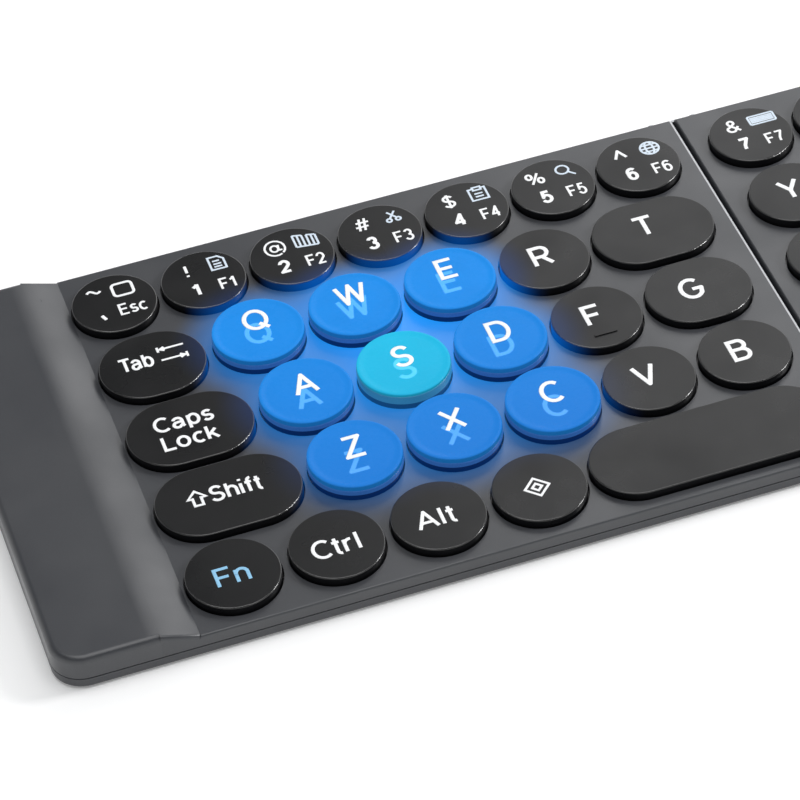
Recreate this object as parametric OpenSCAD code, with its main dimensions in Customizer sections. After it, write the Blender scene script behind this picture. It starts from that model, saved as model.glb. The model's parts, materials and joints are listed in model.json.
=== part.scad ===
// Folding keyboard, two halves that close like a book on a pair of double-pin links.
// Units are millimetres, +Z is up, the typist sits on the -Y side.
// Origin: on the desk, at the seam, in the middle of the depth.

/* [Body] */

// Outer length of one half, from the seam to the far end
half_len = 152.5; // [140:0.5:170]

// Depth of the body from front wall to rear wall
body_depth = 100.2; // [90:0.1:110]

// Height of the key deck above the desk
deck_z = 5; // [4.5:0.1:7]

// Rise of the end block above the key deck
block_rise = 2.4; // [1.5:0.1:3]

// Flat width of the end block on top
block_flat = 18.9; // [14:0.1:24]

// Width of the slope between end block and deck
slope_w = 7; // [4:0.1:10]

// Corner radius of the far end, seen from above
corner_r = 6; // [3:0.1:8]

// Roundness of the deck edges
edge_r = 0.45; // [0.2:0.05:0.8]

// Roundness of the end block's upper edges
block_edge_r = 1.3; // [0.8:0.1:2]

// Roundness of the deck's edge at the seam
seam_edge_r = 0.25; // [0.1:0.05:0.4]

// Roundness of the lower edges
foot_edge_r = 0.5; // [0.2:0.05:0.8]

/* [Shells] */

// Height of the parting line between cover and base shell
split_z = 2.6; // [2:0.1:3.5]

// Thickness of the side walls
wall = 1.2; // [1:0.1:2]

// Thickness of the deck skin
skin = 0.8; // [0.6:0.05:1.2]

// Thickness of the base shell floor
floor_t = 0.8; // [0.6:0.05:1.2]

// Height of the rubber feet under the base shell
foot_gap = 0.4; // [0.3:0.1:1]

/* [Keys] */

// Radius of a letter key
key_r = 8.65; // [8:0.05:9]

// Radius of a number row key
num_r = 8.2; // [7.5:0.05:8.5]

// Letter key pitch
pitch_x = 19; // [18:0.1:20]

// Number row pitch
pitch_num = 17.72; // [17:0.01:19]

// Distance from one row to the next
pitch_y = 19.25; // [18:0.05:20]

// Distance of the number row centre from the middle of the depth
row_top = 38; // [36:0.1:40]

// Height of the key tops above the deck
key_rise = 1.65; // [1.4:0.05:2.2]

// Travel of a key
key_travel = 1.3; // [1:0.05:1.5]

// Roundness of a key's top edge
key_edge_r = 0.25; // [0.15:0.05:0.5]

// Gap between a key and its well
well_gap = 0.3; // [0.2:0.05:0.5]

// Height of the lit blue keys above the deck
lit_rise = 3.2; // [1.65:0.05:3.45]

// Height of the lit centre key above the deck
lit_centre_rise = 3.45; // [1.65:0.05:3.45]

// Height of the step under the cap of a lit blue key above the deck
lit_step = 2.05; // [1.8:0.05:2.5]

// Height of the same step on the lit centre key
lit_centre_step = 2.75; // [1.8:0.05:3]

// Margin from the seam to the keys beside it
seam_margin = 4.2; // [3:0.1:6]

/* [Hinge] */

// Distance of each hinge pin from the seam
pin_x = 4.4; // [4:0.1:6]

// Depth of the hinge pins below the deck
pin_depth = 1.7; // [1.5:0.1:2.5]

// Radius of the hinge pins
pin_r = 0.6; // [0.5:0.05:0.8]

// Thickness of a link plate
link_t = 0.6; // [0.5:0.05:1.2]

/* [Hidden] */

$fn = 48;
e = 0.01;
half_d = body_depth / 2;
base_z = foot_gap;
inner_z = base_z + floor_t;
block_z = deck_z + block_rise;
slope_in = half_len - block_flat;           // top of the slope
slope_out = slope_in - slope_w;             // foot of the slope
pin_z = deck_z - pin_depth;
seam_r = pin_x - 0.15;                      // the half clears the seam plane by 0.15
// middle of the small round at the seam, and where it runs into the seam's round
lip = [pin_x - sqrt(pow(seam_r - seam_edge_r, 2) - pow(pin_depth - seam_edge_r, 2)),
  deck_z - seam_edge_r];
lip_low = [pin_x, pin_z] + (lip - [pin_x, pin_z]) * seam_r / (seam_r - seam_edge_r);
key_top = deck_z + key_rise;
flange_top = deck_z - skin - 0.25;
flange_bot = flange_top - 0.4;
board_top = inner_z + 0.45;
sheet_top = board_top + 0.2;
bracket_y = half_d - wall;
wide_end = half_len - 26.4;                 // far ends of the outer keys
pill_r = (wide_end - 99.15 - 1.65) / 4;     // narrow upright keys of the right half

function row_y(i) = row_top - i * pitch_y;

// round keys: [x, row], wide keys: [inner x, outer x, row], measured from the seam
left_nums = [for (i = [0:6]) 11.8 + i * pitch_num];
left_rounds = [[38.2, 1], [57.2, 1], [76.2, 1], [95.2, 1],
               [34.8, 2], [53.8, 2], [72.8, 2], [91.8, 2],
               [31.7, 3], [50.5, 3], [69.5, 3], [88.5, 3],
               [60, 4], [79.05, 4], [98.1, 4], [117.3, 4],
               [seam_margin + key_r, 3]];
left_wides = [[seam_margin, 28.1, 1], [105.7, wide_end, 1],
              [seam_margin, 24.6, 2], [102.1, wide_end, 2],
              [98.8, wide_end, 3],
              [seam_margin, 50.2, 4]];
right_rounds = concat(
    [for (r = [1:3], i = [0:4]) [seam_margin + key_r + i * pitch_x, r]],
    [[60, 4], [79.05, 4], [98.1, 4], [117.3, 4]]);
right_wides = [[99.15, wide_end, 2], [99.15, wide_end, 3], [seam_margin, 50.2, 4]];
right_pills = [99.15 + pill_r, wide_end - pill_r];

// screw bosses, in the gaps that the keys leave
between_1_2 = (row_y(1) + row_y(2)) / 2;
between_3_4 = (row_y(3) + row_y(4)) / 2;
left_bosses = [[28.75, between_1_2 + 1.3], [85.75, between_1_2 + 1.3],
               [41, between_3_4 + 2.3], [98, between_3_4 + 2.3]];
right_bosses = [[22.25, between_1_2 + 0.1], [79.25, between_1_2 + 0.1],
                [41.25, between_3_4 + 2.3], [98.25, between_3_4 + 2.3]];
block_bosses = [[132.4, 44.2], [146.5, -44.2]];

// ---------- helpers; everything is drawn on the +X side and mirrored for the left half ----------

// flat stadium from x0 to x1 with end radius r
module slot2(x0, x1, r) {
  translate([x0 + r, 0]) circle(r);
  translate([x1 - r, 0]) circle(r);
  if (x1 - x0 > 2 * r) translate([x0 + r, -r]) square([x1 - x0 - 2 * r, 2 * r]);
}

// side outline of one half: deck, slope and end block
module side_outline() {
  difference() {
    polygon([[0.15, base_z], [0.15, deck_z], [slope_out, deck_z], [slope_in, block_z],
      [half_len + 1, block_z], [half_len + 1, base_z]]);
    // seam end, rounded about the hinge pin so that the halves roll past each other
    difference() {
      translate([-1, pin_z]) square([pin_x + 1, 5]);
      translate([pin_x, pin_z]) circle(seam_r);
    }
    // and its upper edge broken by a small round
    difference() {
      polygon([lip, [lip[0], deck_z + 1], [-1, deck_z + 1],
        [-1, lip_low[1]], lip_low]);
      translate(lip) circle(seam_edge_r);
    }
  }
}

// outline of one half seen from above, drawn in by inset
module plan(inset) {
  translate([-1, -half_d + inset])
    square([half_len + 1 - corner_r, body_depth - 2 * inset]);
  translate([-1, -half_d + corner_r])
    square([half_len + 1 - inset, body_depth - 2 * corner_r]);
  for (s = [-1, 1]) translate([half_len - corner_r, s * (half_d - corner_r)])
    circle(corner_r - inset);
}

// what rounding an edge to radius r takes off; the body is at -X and -Y of the edge
module edge_2d(r) {
  difference() {
    translate([-r, -r]) square(r + 1);
    translate([-r, -r]) circle(r);
  }
}

// the same along X; the body is at -Y and -Z
module edge_cut(l, r) {
  rotate([90, 0, 90]) linear_extrude(l) edge_2d(r);
}

// the same round an upright corner
module corner_cut(r) {
  rotate_extrude(angle = 90) translate([corner_r, 0]) edge_2d(r);
}

module edge_cuts() {
  tilt = atan2(block_rise, slope_w);
  for (m = [0, 1]) mirror([0, m, 0]) {
    translate([0, half_d, 0]) {
      translate([-2, 0, deck_z]) edge_cut(slope_out + 2, edge_r);
      translate([slope_out, 0, deck_z]) rotate([0, -tilt, 0]) translate([-0.1, 0, 0])
        edge_cut(norm([block_rise, slope_w]) + 0.1, edge_r + 0.35);
      translate([slope_in, 0, block_z])
        edge_cut(half_len - corner_r - slope_in, block_edge_r);
      translate([-2, 0, base_z]) mirror([0, 0, 1])
        edge_cut(half_len - corner_r + 2, foot_edge_r);
    }
    translate([half_len - corner_r, half_d - corner_r, 0]) {
      translate([0, 0, block_z]) corner_cut(block_edge_r);
      translate([0, 0, base_z]) mirror([0, 0, 1]) corner_cut(foot_edge_r);
    }
  }
  translate([half_len, half_d - corner_r, 0]) {
    translate([0, 0, block_z]) rotate(-90)
      edge_cut(body_depth - 2 * corner_r, block_edge_r);
    translate([0, 0, base_z]) mirror([0, 0, 1]) rotate(-90)
      edge_cut(body_depth - 2 * corner_r, foot_edge_r);
  }
}

module body_blank() {
  difference() {
    intersection() {
      translate([0, half_d + 5, 0]) rotate([90, 0, 0]) linear_extrude(body_depth + 10)
        side_outline();
      linear_extrude(20) plan(0);
    }
    edge_cuts();
  }
}

// the room inside one half
module cavity() {
  ic = corner_r - wall;
  intersection() {
    translate([0, half_d, 0]) rotate([90, 0, 0]) linear_extrude(body_depth)
      polygon([[1.6, inner_z], [1.6, deck_z - skin], [slope_out + 0.3, deck_z - skin],
        [slope_in + 0.3, block_z - 1], [half_len - 1.4, block_z - 1],
        [half_len - 1.4, inner_z]]);
    linear_extrude(20) union() {
      translate([0, -half_d + wall])
        square([half_len - corner_r, body_depth - 2 * wall]);
      translate([0, -half_d + corner_r])
        square([half_len - 1.4, body_depth - 2 * corner_r]);
      for (s = [-1, 1]) translate([half_len - 1.4 - ic, s * (half_d - wall - ic)])
        circle(ic);
    }
  }
}

module pin_bores(r) {
  for (s = [-1, 1]) translate([pin_x, s * (half_d - 2), pin_z]) rotate([90, 0, 0])
    cylinder(r = r, h = 12, center = true);
}

module wells(nums, rounds, wides, pills) {
  for (x = nums) translate([x, row_y(0), deck_z - 2]) cylinder(r = num_r + well_gap, h = 3);
  for (k = rounds) translate([k[0], row_y(k[1]), deck_z - 2])
    cylinder(r = key_r + well_gap, h = 3);
  for (k = wides) translate([0, row_y(k[2]), deck_z - 2]) linear_extrude(3)
    slot2(k[0] - well_gap, k[1] + well_gap, key_r + well_gap);
  for (x = pills) translate([x, row_y(1), deck_z - 2]) linear_extrude(3) rotate(90)
    slot2(-key_r - well_gap, key_r + well_gap, pill_r + well_gap);
}

module boss(p, z1) {
  translate([p[0], p[1], inner_z]) cylinder(r = 1.5, h = z1 - inner_z + 0.1);
}

module top_cover(nums, rounds, wides, pills, bosses) {
  difference() {
    union() {
      difference() {
        body_blank();
        cavity();
        translate([-5, -100, -1]) cube([200, 200, split_z + 1]);
      }
      for (b = bosses) boss(b, deck_z - skin);
      for (b = block_bosses) boss(b, block_z - 1);
      // magnet cups under the end block
      for (s = [-1, 1]) translate([143, s * 30, block_z - 2.6])
        cylinder(r = 4, h = 1.7);
    }
    wells(nums, rounds, wides, pills);
    pin_bores(pin_r + 0.15);
    for (b = concat(bosses, block_bosses)) translate([b[0], b[1], 0])
      cylinder(r = 0.8, h = deck_z - skin - 0.2);
    for (s = [-1, 1]) translate([143, s * 30, block_z - 3])
      cylinder(r = 3.1, h = 2);
  }
}

module base_shell(bosses) {
  difference() {
    union() {
      difference() {
        intersection() {
          body_blank();
          translate([-5, -100, -1]) cube([200, 200, split_z + 1]);
        }
        cavity();
      }
    }
    pin_bores(pin_r + 0.15);
    // shadow line under the parting face
    difference() {
      translate([-0.9, -100, split_z - 0.2]) cube([200, 200, 0.2 + e]);
      linear_extrude(9) plan(0.35);
    }
    for (b = concat(bosses, block_bosses)) {
      translate([b[0], b[1], 0]) cylinder(r = 0.9, h = 3);
      translate([b[0], b[1], 0]) cylinder(r = 1.6, h = base_z + 0.45);
    }
    // pockets for the rubber feet
    for (p = feet_at) translate([p[0], p[1], 0]) cylinder(r = 4.1, h = base_z + 0.35);
  }
}

feet_at = [[20, 42.5], [20, -42.5], [139, 38], [139, -35]];

module feet() {
  for (p = feet_at) translate([p[0], p[1], 0]) {
    cylinder(r = 3.6, h = 0.3);
    translate([0, 0, 0.3]) cylinder(r = 4, h = base_z + 0.05);
  }
}

module screws(bosses) {
  for (b = concat(bosses, block_bosses)) translate([b[0], b[1], base_z + 0.05]) difference() {
    union() {
      cylinder(r = 1.5, h = 0.4);
      cylinder(r = 0.78, h = 3.4);
    }
    for (a = [0, 90]) rotate(a) translate([-0.9, -0.2, -1]) cube([1.8, 0.4, 1.25]);
  }
}

module circuit_board(bosses) {
  translate([0, 0, inner_z]) difference() {
    translate([1.9, -45.7, 0]) cube([slope_out - 4, 91.4, 0.45]);
    for (b = bosses) translate([b[0], b[1], -1]) cylinder(r = 1.8, h = 3);
  }
}

module dome_sheet(nums, rounds, wides, pills, bosses) {
  difference() {
    translate([2.4, -45.4, board_top]) cube([slope_out - 5, 90.8, 0.2]);
    for (b = bosses) translate([b[0], b[1], 0]) cylinder(r = 1.8, h = 5);
  }
  for (x = nums) dome(x, row_y(0));
  for (k = rounds) dome(k[0], row_y(k[1]));
  for (k = wides) dome((k[0] + k[1]) / 2, row_y(k[2]));
  for (x = pills) dome(x, row_y(1));
}

// rubber dome, drawn pressed flat
module dome(x, y) {
  translate([x, y, board_top]) cylinder(r1 = 3.6, r2 = 2, h = 1.25);
}

module brackets() {
  difference() {
    for (s = [-1, 1]) translate([1.75, s > 0 ? bracket_y - 2.1 : -bracket_y, inner_z])
      cube([5.2, 2.1, deck_z - skin - inner_z]);
    pin_bores(pin_r + 0.05);
  }
}

module hinge_flex() {
  translate([0.5, -4, sheet_top]) cube([8.5, 8, 0.12]);
}

module magnets() {
  for (s = [-1, 1]) translate([143, s * 30, block_z - 2.5]) cylinder(r = 3, h = 1.5);
}

// ---------- keys ----------

// outline of a hollow key, from its middle to its rim
module key_profile(r, top) {
  f = key_edge_r;
  difference() {
    union() {
      translate([0, flange_bot]) square([r, top - f - flange_bot]);
      translate([0, flange_bot]) square([r - f, top - flange_bot]);
      translate([r - f, top - f]) circle(f);
      translate([0, flange_bot]) square([r + well_gap + 0.25, 0.4]);
    }
    translate([2, flange_bot - 1]) square([r - 3.3, key_top - 1.2 - flange_bot + 1]);
    translate([-1, flange_bot - 1]) square([4, 4.6 - flange_bot + 1]);
    translate([-r - 5, 0]) square([r + 5, 20]);
  }
}

module round_key(x, row, r = key_r) {
  translate([x, row_y(row), 0]) rotate_extrude() key_profile(r, key_top);
}

// outline of what a lit key carries: a collar that stands out over the deck, and
// on it the cap, with a fine step between them
module lit_profile(r, step, top) {
  low = deck_z + key_travel + 0.2;
  cap_r = r - 0.1;
  translate([0, low]) square([r, step - low]);
  translate([0, low]) square([cap_r, top - key_edge_r - low]);
  translate([0, low]) square([cap_r - key_edge_r, top - low]);
  translate([cap_r - key_edge_r, top - key_edge_r]) circle(key_edge_r);
}

// wide key with two round ends and a stem in the middle
module wide_key(x0, x1, row, r = key_r) {
  translate([0, row_y(row), 0]) wide_body(x0, x1, r);
}

module wide_body(x0, x1, r) {
  f = key_edge_r;
  l = x1 - x0 - 2 * r;
  difference() {
    union() {
      for (x = [x0 + r, x1 - r]) translate([x, 0, 0]) rotate_extrude() wide_profile(r, f);
      translate([x0 + r, 0, 0]) rotate([90, 0, 90]) linear_extrude(l) {
        wide_profile(r, f);
        mirror([1, 0]) wide_profile(r, f);
      }
    }
    translate([0, 0, flange_bot - 1]) linear_extrude(key_top - 1.2 - flange_bot + 1)
      slot2(x0 + 1.3, x1 - 1.3, r - 1.3);
  }
  translate([(x0 + x1) / 2, 0, 4.6]) cylinder(r = 2, h = key_top - 5.7);
}

module wide_profile(r, f) {
  intersection() {
    union() {
      translate([0, flange_bot]) square([r, key_top - f - flange_bot]);
      translate([0, flange_bot]) square([r - f, key_top - flange_bot]);
      translate([r - f, key_top - f]) circle(f);
      translate([0, flange_bot]) square([r + well_gap + 0.25, 0.4]);
    }
    square([40, 20]);
  }
}

module pill_key(x, row) {
  translate([x, row_y(row), 0]) rotate(90) wide_body(-key_r, key_r, pill_r);
}

// ---------- colours ----------

deck_grey = [0.42, 0.43, 0.45];
shell_grey = [0.39, 0.4, 0.42];
key_black = [0.13, 0.13, 0.14];
lit_blue = [0.12, 0.45, 0.9];
steel = [0.7, 0.7, 0.72];
board_green = [0.1, 0.35, 0.2];
rubber_dark = [0.08, 0.08, 0.08];

module left() { mirror([1, 0, 0]) children(); }

// ---------- left half ----------

module left_top_cover() color(deck_grey) left() difference() {
  top_cover(left_nums, left_rounds, left_wides, [], left_bosses);
  socket_hole();
}
module left_base_shell() color(shell_grey) left() difference() {
  base_shell(left_bosses);
  socket_hole();
  translate([-1, -4.3, sheet_top - 0.1]) cube([4, 8.6, 0.4]);
}
module left_circuit_board() color(board_green) left() circuit_board(left_bosses);
module left_dome_sheet() color(rubber_dark) left()
  dome_sheet(left_nums, left_rounds, left_wides, [], left_bosses);
module left_hinge_brackets() color(steel) left() brackets();
module left_hinge_flex() color([0.8, 0.5, 0.1]) left() hinge_flex();
module left_magnets() color(steel) left() magnets();
module left_screws() color(steel) left() screws(left_bosses);
module left_feet() color(rubber_dark) left() feet();

sock_x = 142;
sock_z = inner_z + 2.55;

module socket_hole() {
  translate([sock_x, half_d + 1, sock_z]) rotate([90, 0, 0]) linear_extrude(4)
    translate([-4.65, 0]) slot2(0, 9.3, 1.8);
}

// small board in the left end block, with its chips
module control_board() color(board_green) left() translate([129.5, 5, inner_z]) {
  difference() {
    cube([21, 42, 0.9]);
    translate([block_bosses[0][0] - 129.5, block_bosses[0][1] - 5, -1])
      cylinder(r = 1.8, h = 3);
  }
  translate([4, 5, 0.9]) cube([7, 7, 0.9]);
  translate([13.5, 6, 0.9]) cube([5, 4, 0.8]);
  translate([4, 17, 0.9]) cube([4, 3, 0.7]);
  translate([12, 14, 0.9]) cube([3.2, 1.6, 0.7]);
}

module charging_socket() color(steel) left() translate([sock_x, half_d - 0.3, sock_z]) {
  rotate([90, 0, 0]) difference() {
    linear_extrude(7.2) translate([-4.47, 0]) slot2(0, 8.94, 1.63);
    translate([0, 0, -1]) linear_extrude(7.4) translate([-4.17, 0]) slot2(0, 8.34, 1.33);
  }
  translate([-3.2, -6.6, -0.35]) cube([6.4, 5.6, 0.7]);
}

module key_esc() color(key_black) left() round_key(left_nums[6], 0, num_r);
module key_1() color(key_black) left() round_key(left_nums[5], 0, num_r);
module key_2() color(key_black) left() round_key(left_nums[4], 0, num_r);
module key_3() color(key_black) left() round_key(left_nums[3], 0, num_r);
module key_4() color(key_black) left() round_key(left_nums[2], 0, num_r);
module key_5() color(key_black) left() round_key(left_nums[1], 0, num_r);
module key_6() color(key_black) left() round_key(left_nums[0], 0, num_r);
module key_tab() color(key_black) left() wide_key(105.7, wide_end, 1);
module key_q() color(lit_blue) left() lit_key(left_rounds[3], lit_rise, lit_step);
module key_w() color(lit_blue) left() lit_key(left_rounds[2], lit_rise, lit_step);
module key_e() color(lit_blue) left() lit_key(left_rounds[1], lit_rise, lit_step);
module key_r_cap() color(key_black) left() round_key(left_rounds[0][0], 1);
module key_t() color(key_black) left() wide_key(seam_margin, 28.1, 1);
module key_caps_lock() color(key_black) left() wide_key(102.1, wide_end, 2);
module key_a() color(lit_blue) left() lit_key(left_rounds[7], lit_rise, lit_step);
module key_s() color([0.15, 0.75, 0.9]) left() lit_key(left_rounds[6], lit_centre_rise, lit_centre_step);
module key_d() color(lit_blue) left() lit_key(left_rounds[5], lit_rise, lit_step);
module key_f() color(key_black) left() {
  round_key(left_rounds[4][0], 2);
  // homing bar
  translate([left_rounds[4][0] - 2.2, row_y(2) - 5.2, key_top - 0.1]) cube([4.4, 0.5, 0.3]);
}
module key_g() color(key_black) left() wide_key(seam_margin, 24.6, 2);
module key_shift() color(key_black) left() wide_key(98.8, wide_end, 3);
module key_z() color(lit_blue) left() lit_key(left_rounds[11], lit_rise, lit_step);
module key_x() color(lit_blue) left() lit_key(left_rounds[10], lit_rise, lit_step);
module key_c() color(lit_blue) left() lit_key(left_rounds[9], lit_rise, lit_step);
module key_v() color(key_black) left() round_key(left_rounds[8][0], 3);
module key_b() color(key_black) left() round_key(left_rounds[16][0], 3);
module key_fn() color(key_black) left() round_key(left_rounds[15][0], 4);
module key_ctrl() color(key_black) left() round_key(left_rounds[14][0], 4);
module key_alt() color(key_black) left() round_key(left_rounds[13][0], 4);
module key_diamond() color(key_black) left() round_key(left_rounds[12][0], 4);
module key_space() color(key_black) left() wide_key(seam_margin, 50.2, 4);

module lit_key(k, rise, step) {
  round_key(k[0], k[1]);
  translate([k[0], row_y(k[1]), 0]) rotate_extrude()
    lit_profile(key_r + 0.2, deck_z + step, deck_z + rise);
}

// ---------- hinge ----------

module link_plate(s) {
  y0 = half_d + 0.15;
  translate([0, s > 0 ? y0 + link_t : -y0, pin_z]) rotate([90, 0, 0])
    linear_extrude(link_t) difference() {
      union() {
        for (x = [-pin_x, pin_x]) translate([x, 0]) circle(1);
        translate([-pin_x, -0.8]) square([2 * pin_x, 1.6]);
      }
      for (x = [-pin_x, pin_x]) translate([x, 0]) circle(pin_r);
    }
}

module hinge_link_front() color(steel) link_plate(-1);
module hinge_link_rear() color(steel) link_plate(1);

module hinge_pins() color(steel) for (s = [-1, 1], x = [-pin_x, pin_x])
  translate([x, s * (bracket_y - 1.9), pin_z]) rotate([s > 0 ? -90 : 90, 0, 0]) {
    cylinder(r = pin_r, h = 1.9 + wall + 0.15 + link_t);
    translate([0, 0, 1.9 + wall + 0.15 + link_t]) cylinder(r = 0.85, h = 0.1);
  }

// ---------- right half ----------

right_nums = left_nums;

module right_top_cover() color(deck_grey)
  top_cover(right_nums, right_rounds, right_wides, right_pills, right_bosses);
module right_base_shell() color(shell_grey) difference() {
  base_shell(right_bosses);
  translate([-1, -4.3, sheet_top - 0.1]) cube([4, 8.6, 0.4]);
}
module right_circuit_board() color(board_green) circuit_board(right_bosses);
module right_dome_sheet() color(rubber_dark)
  dome_sheet(right_nums, right_rounds, right_wides, right_pills, right_bosses);
module right_hinge_brackets() color(steel) brackets();
module right_hinge_flex() color([0.8, 0.5, 0.1]) hinge_flex();
module right_magnets() color(steel) magnets();
module right_screws() color(steel) screws(right_bosses);
module right_feet() color(rubber_dark) feet();

// flat cell in the right end block
module battery() color([0.75, 0.75, 0.78]) translate([130.5, -22, inner_z]) {
  cube([17, 44, 3.6]);
  translate([2, 44, 0.6]) cube([13, 2.5, 2.4]);
}

module right_number_row_keys() color(key_black)
  for (x = right_nums) round_key(x, 0, num_r);
module right_top_row_keys() color(key_black) {
  for (i = [0:4]) round_key(right_rounds[i][0], 1);
  for (x = right_pills) pill_key(x, 1);
}
module right_home_row_keys() color(key_black) {
  for (i = [5:9]) round_key(right_rounds[i][0], 2);
  wide_key(99.15, wide_end, 2);
}
module right_bottom_row_keys() color(key_black) {
  for (i = [10:14]) round_key(right_rounds[i][0], 3);
  wide_key(99.15, wide_end, 3);
}
module right_space_row_keys() color(key_black) {
  wide_key(seam_margin, 50.2, 4);
  for (i = [15:18]) round_key(right_rounds[i][0], 4);
}

// ---------- drawing ----------
left_top_cover();
left_base_shell();
left_circuit_board();
left_dome_sheet();
left_hinge_brackets();
left_hinge_flex();
left_magnets();
left_screws();
left_feet();
control_board();
charging_socket();
hinge_link_front();
hinge_link_rear();
hinge_pins();
right_top_cover();
right_base_shell();
right_circuit_board();
right_dome_sheet();
right_hinge_brackets();
right_hinge_flex();
right_magnets();
right_screws();
right_feet();
battery();
right_number_row_keys();
right_top_row_keys();
right_home_row_keys();
right_bottom_row_keys();
right_space_row_keys();
key_esc();
key_1();
key_2();
key_3();
key_4();
key_5();
key_6();
key_tab();
key_q();
key_w();
key_e();
key_r_cap();
key_t();
key_caps_lock();
key_a();
key_s();
key_d();
key_f();
key_g();
key_shift();
key_z();
key_x();
key_c();
key_v();
key_b();
key_fn();
key_ctrl();
key_alt();
key_diamond();
key_space();
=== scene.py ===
"""Looks of the folding keyboard, dressed over its CAD frame.

Everything is in metres, in the frame of the CAD: X along the length, the seam at
X = 0, the left half on -X, the typist on -Y, the desk at Z = 0.
"""
import json
import logging
import math
from dataclasses import dataclass
from enum import Enum

import bmesh
import bpy
from mathutils import Matrix, Vector


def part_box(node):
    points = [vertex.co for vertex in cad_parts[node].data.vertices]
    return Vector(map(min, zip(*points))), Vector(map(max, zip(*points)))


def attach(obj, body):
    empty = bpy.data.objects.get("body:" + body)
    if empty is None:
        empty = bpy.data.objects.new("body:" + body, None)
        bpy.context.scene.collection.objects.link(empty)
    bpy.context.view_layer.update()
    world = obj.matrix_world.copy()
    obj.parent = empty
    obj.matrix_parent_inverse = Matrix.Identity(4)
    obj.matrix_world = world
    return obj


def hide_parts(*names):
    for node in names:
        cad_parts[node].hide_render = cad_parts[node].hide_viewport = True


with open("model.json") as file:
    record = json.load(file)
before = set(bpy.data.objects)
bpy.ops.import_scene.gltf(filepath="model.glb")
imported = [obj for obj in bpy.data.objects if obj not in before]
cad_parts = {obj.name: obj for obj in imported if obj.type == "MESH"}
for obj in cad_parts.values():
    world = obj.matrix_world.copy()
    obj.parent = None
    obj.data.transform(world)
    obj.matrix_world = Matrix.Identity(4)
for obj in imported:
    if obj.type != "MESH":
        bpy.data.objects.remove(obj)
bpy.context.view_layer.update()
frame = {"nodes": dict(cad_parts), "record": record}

LOG = logging.getLogger("keyboard")
MM = 0.001

Point = tuple[float, float]
Spot = tuple[float, float, float]
Stroke = tuple[list[Point], bool]
Rgb = tuple[float, float, float]
Socket = bpy.types.NodeSocket

KEY_TOP = 6.65 * MM
FIRST_ROW = 38.0
ROW_PITCH = 19.25
ROW_Y = [(FIRST_ROW - i * ROW_PITCH) * MM for i in range(5)]

# the lit keys: X in millimetres and row
LIT_KEYS: dict[str, Point] = {
    "key_q": (-95.2, 1), "key_w": (-76.2, 1), "key_e": (-57.2, 1),
    "key_a": (-91.8, 2), "key_s": (-72.8, 2), "key_d": (-53.8, 2),
    "key_z": (-88.5, 3), "key_x": (-69.5, 3), "key_c": (-50.5, 3)}


class Ink(Enum):
    """What a mark is printed in."""

    WHITE = "print"
    ICE = "ice_print"
    BLUE = "pale_print"


class Lamp(Enum):
    """Colour of the light under a lit key."""

    BLUE = "lit_blue"
    CYAN = "lit_cyan"


class Glyph(Enum):
    """Plain pictograms printed on the keys."""

    SQUARE = "square"
    PAGE = "page"
    COPY = "copy"
    SCISSORS = "scissors"
    BOARD = "board"
    LENS = "lens"
    GLOBE = "globe"
    STRIP = "strip"
    TAB = "tab"
    UP_ARROW = "up_arrow"
    DIAMOND = "diamond"
    LEFT = "left"
    RIGHT = "right"
    UP = "up"
    DOWN = "down"
    BACK = "back"
    PLAY = "play"
    FORWARD = "forward"
    REWIND = "rewind"
    QUIET = "quiet"
    LOUD = "loud"


# ------------------------------------------------------------------ materials

MIDDLE = (0.3, 0.7)  # the part of a noise's range that holds most of its values


def shade_of(tone: Rgb, share: float) -> Rgb:
    """A darker shade of a tone."""
    return tone[0] * share, tone[1] * share, tone[2] * share


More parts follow.
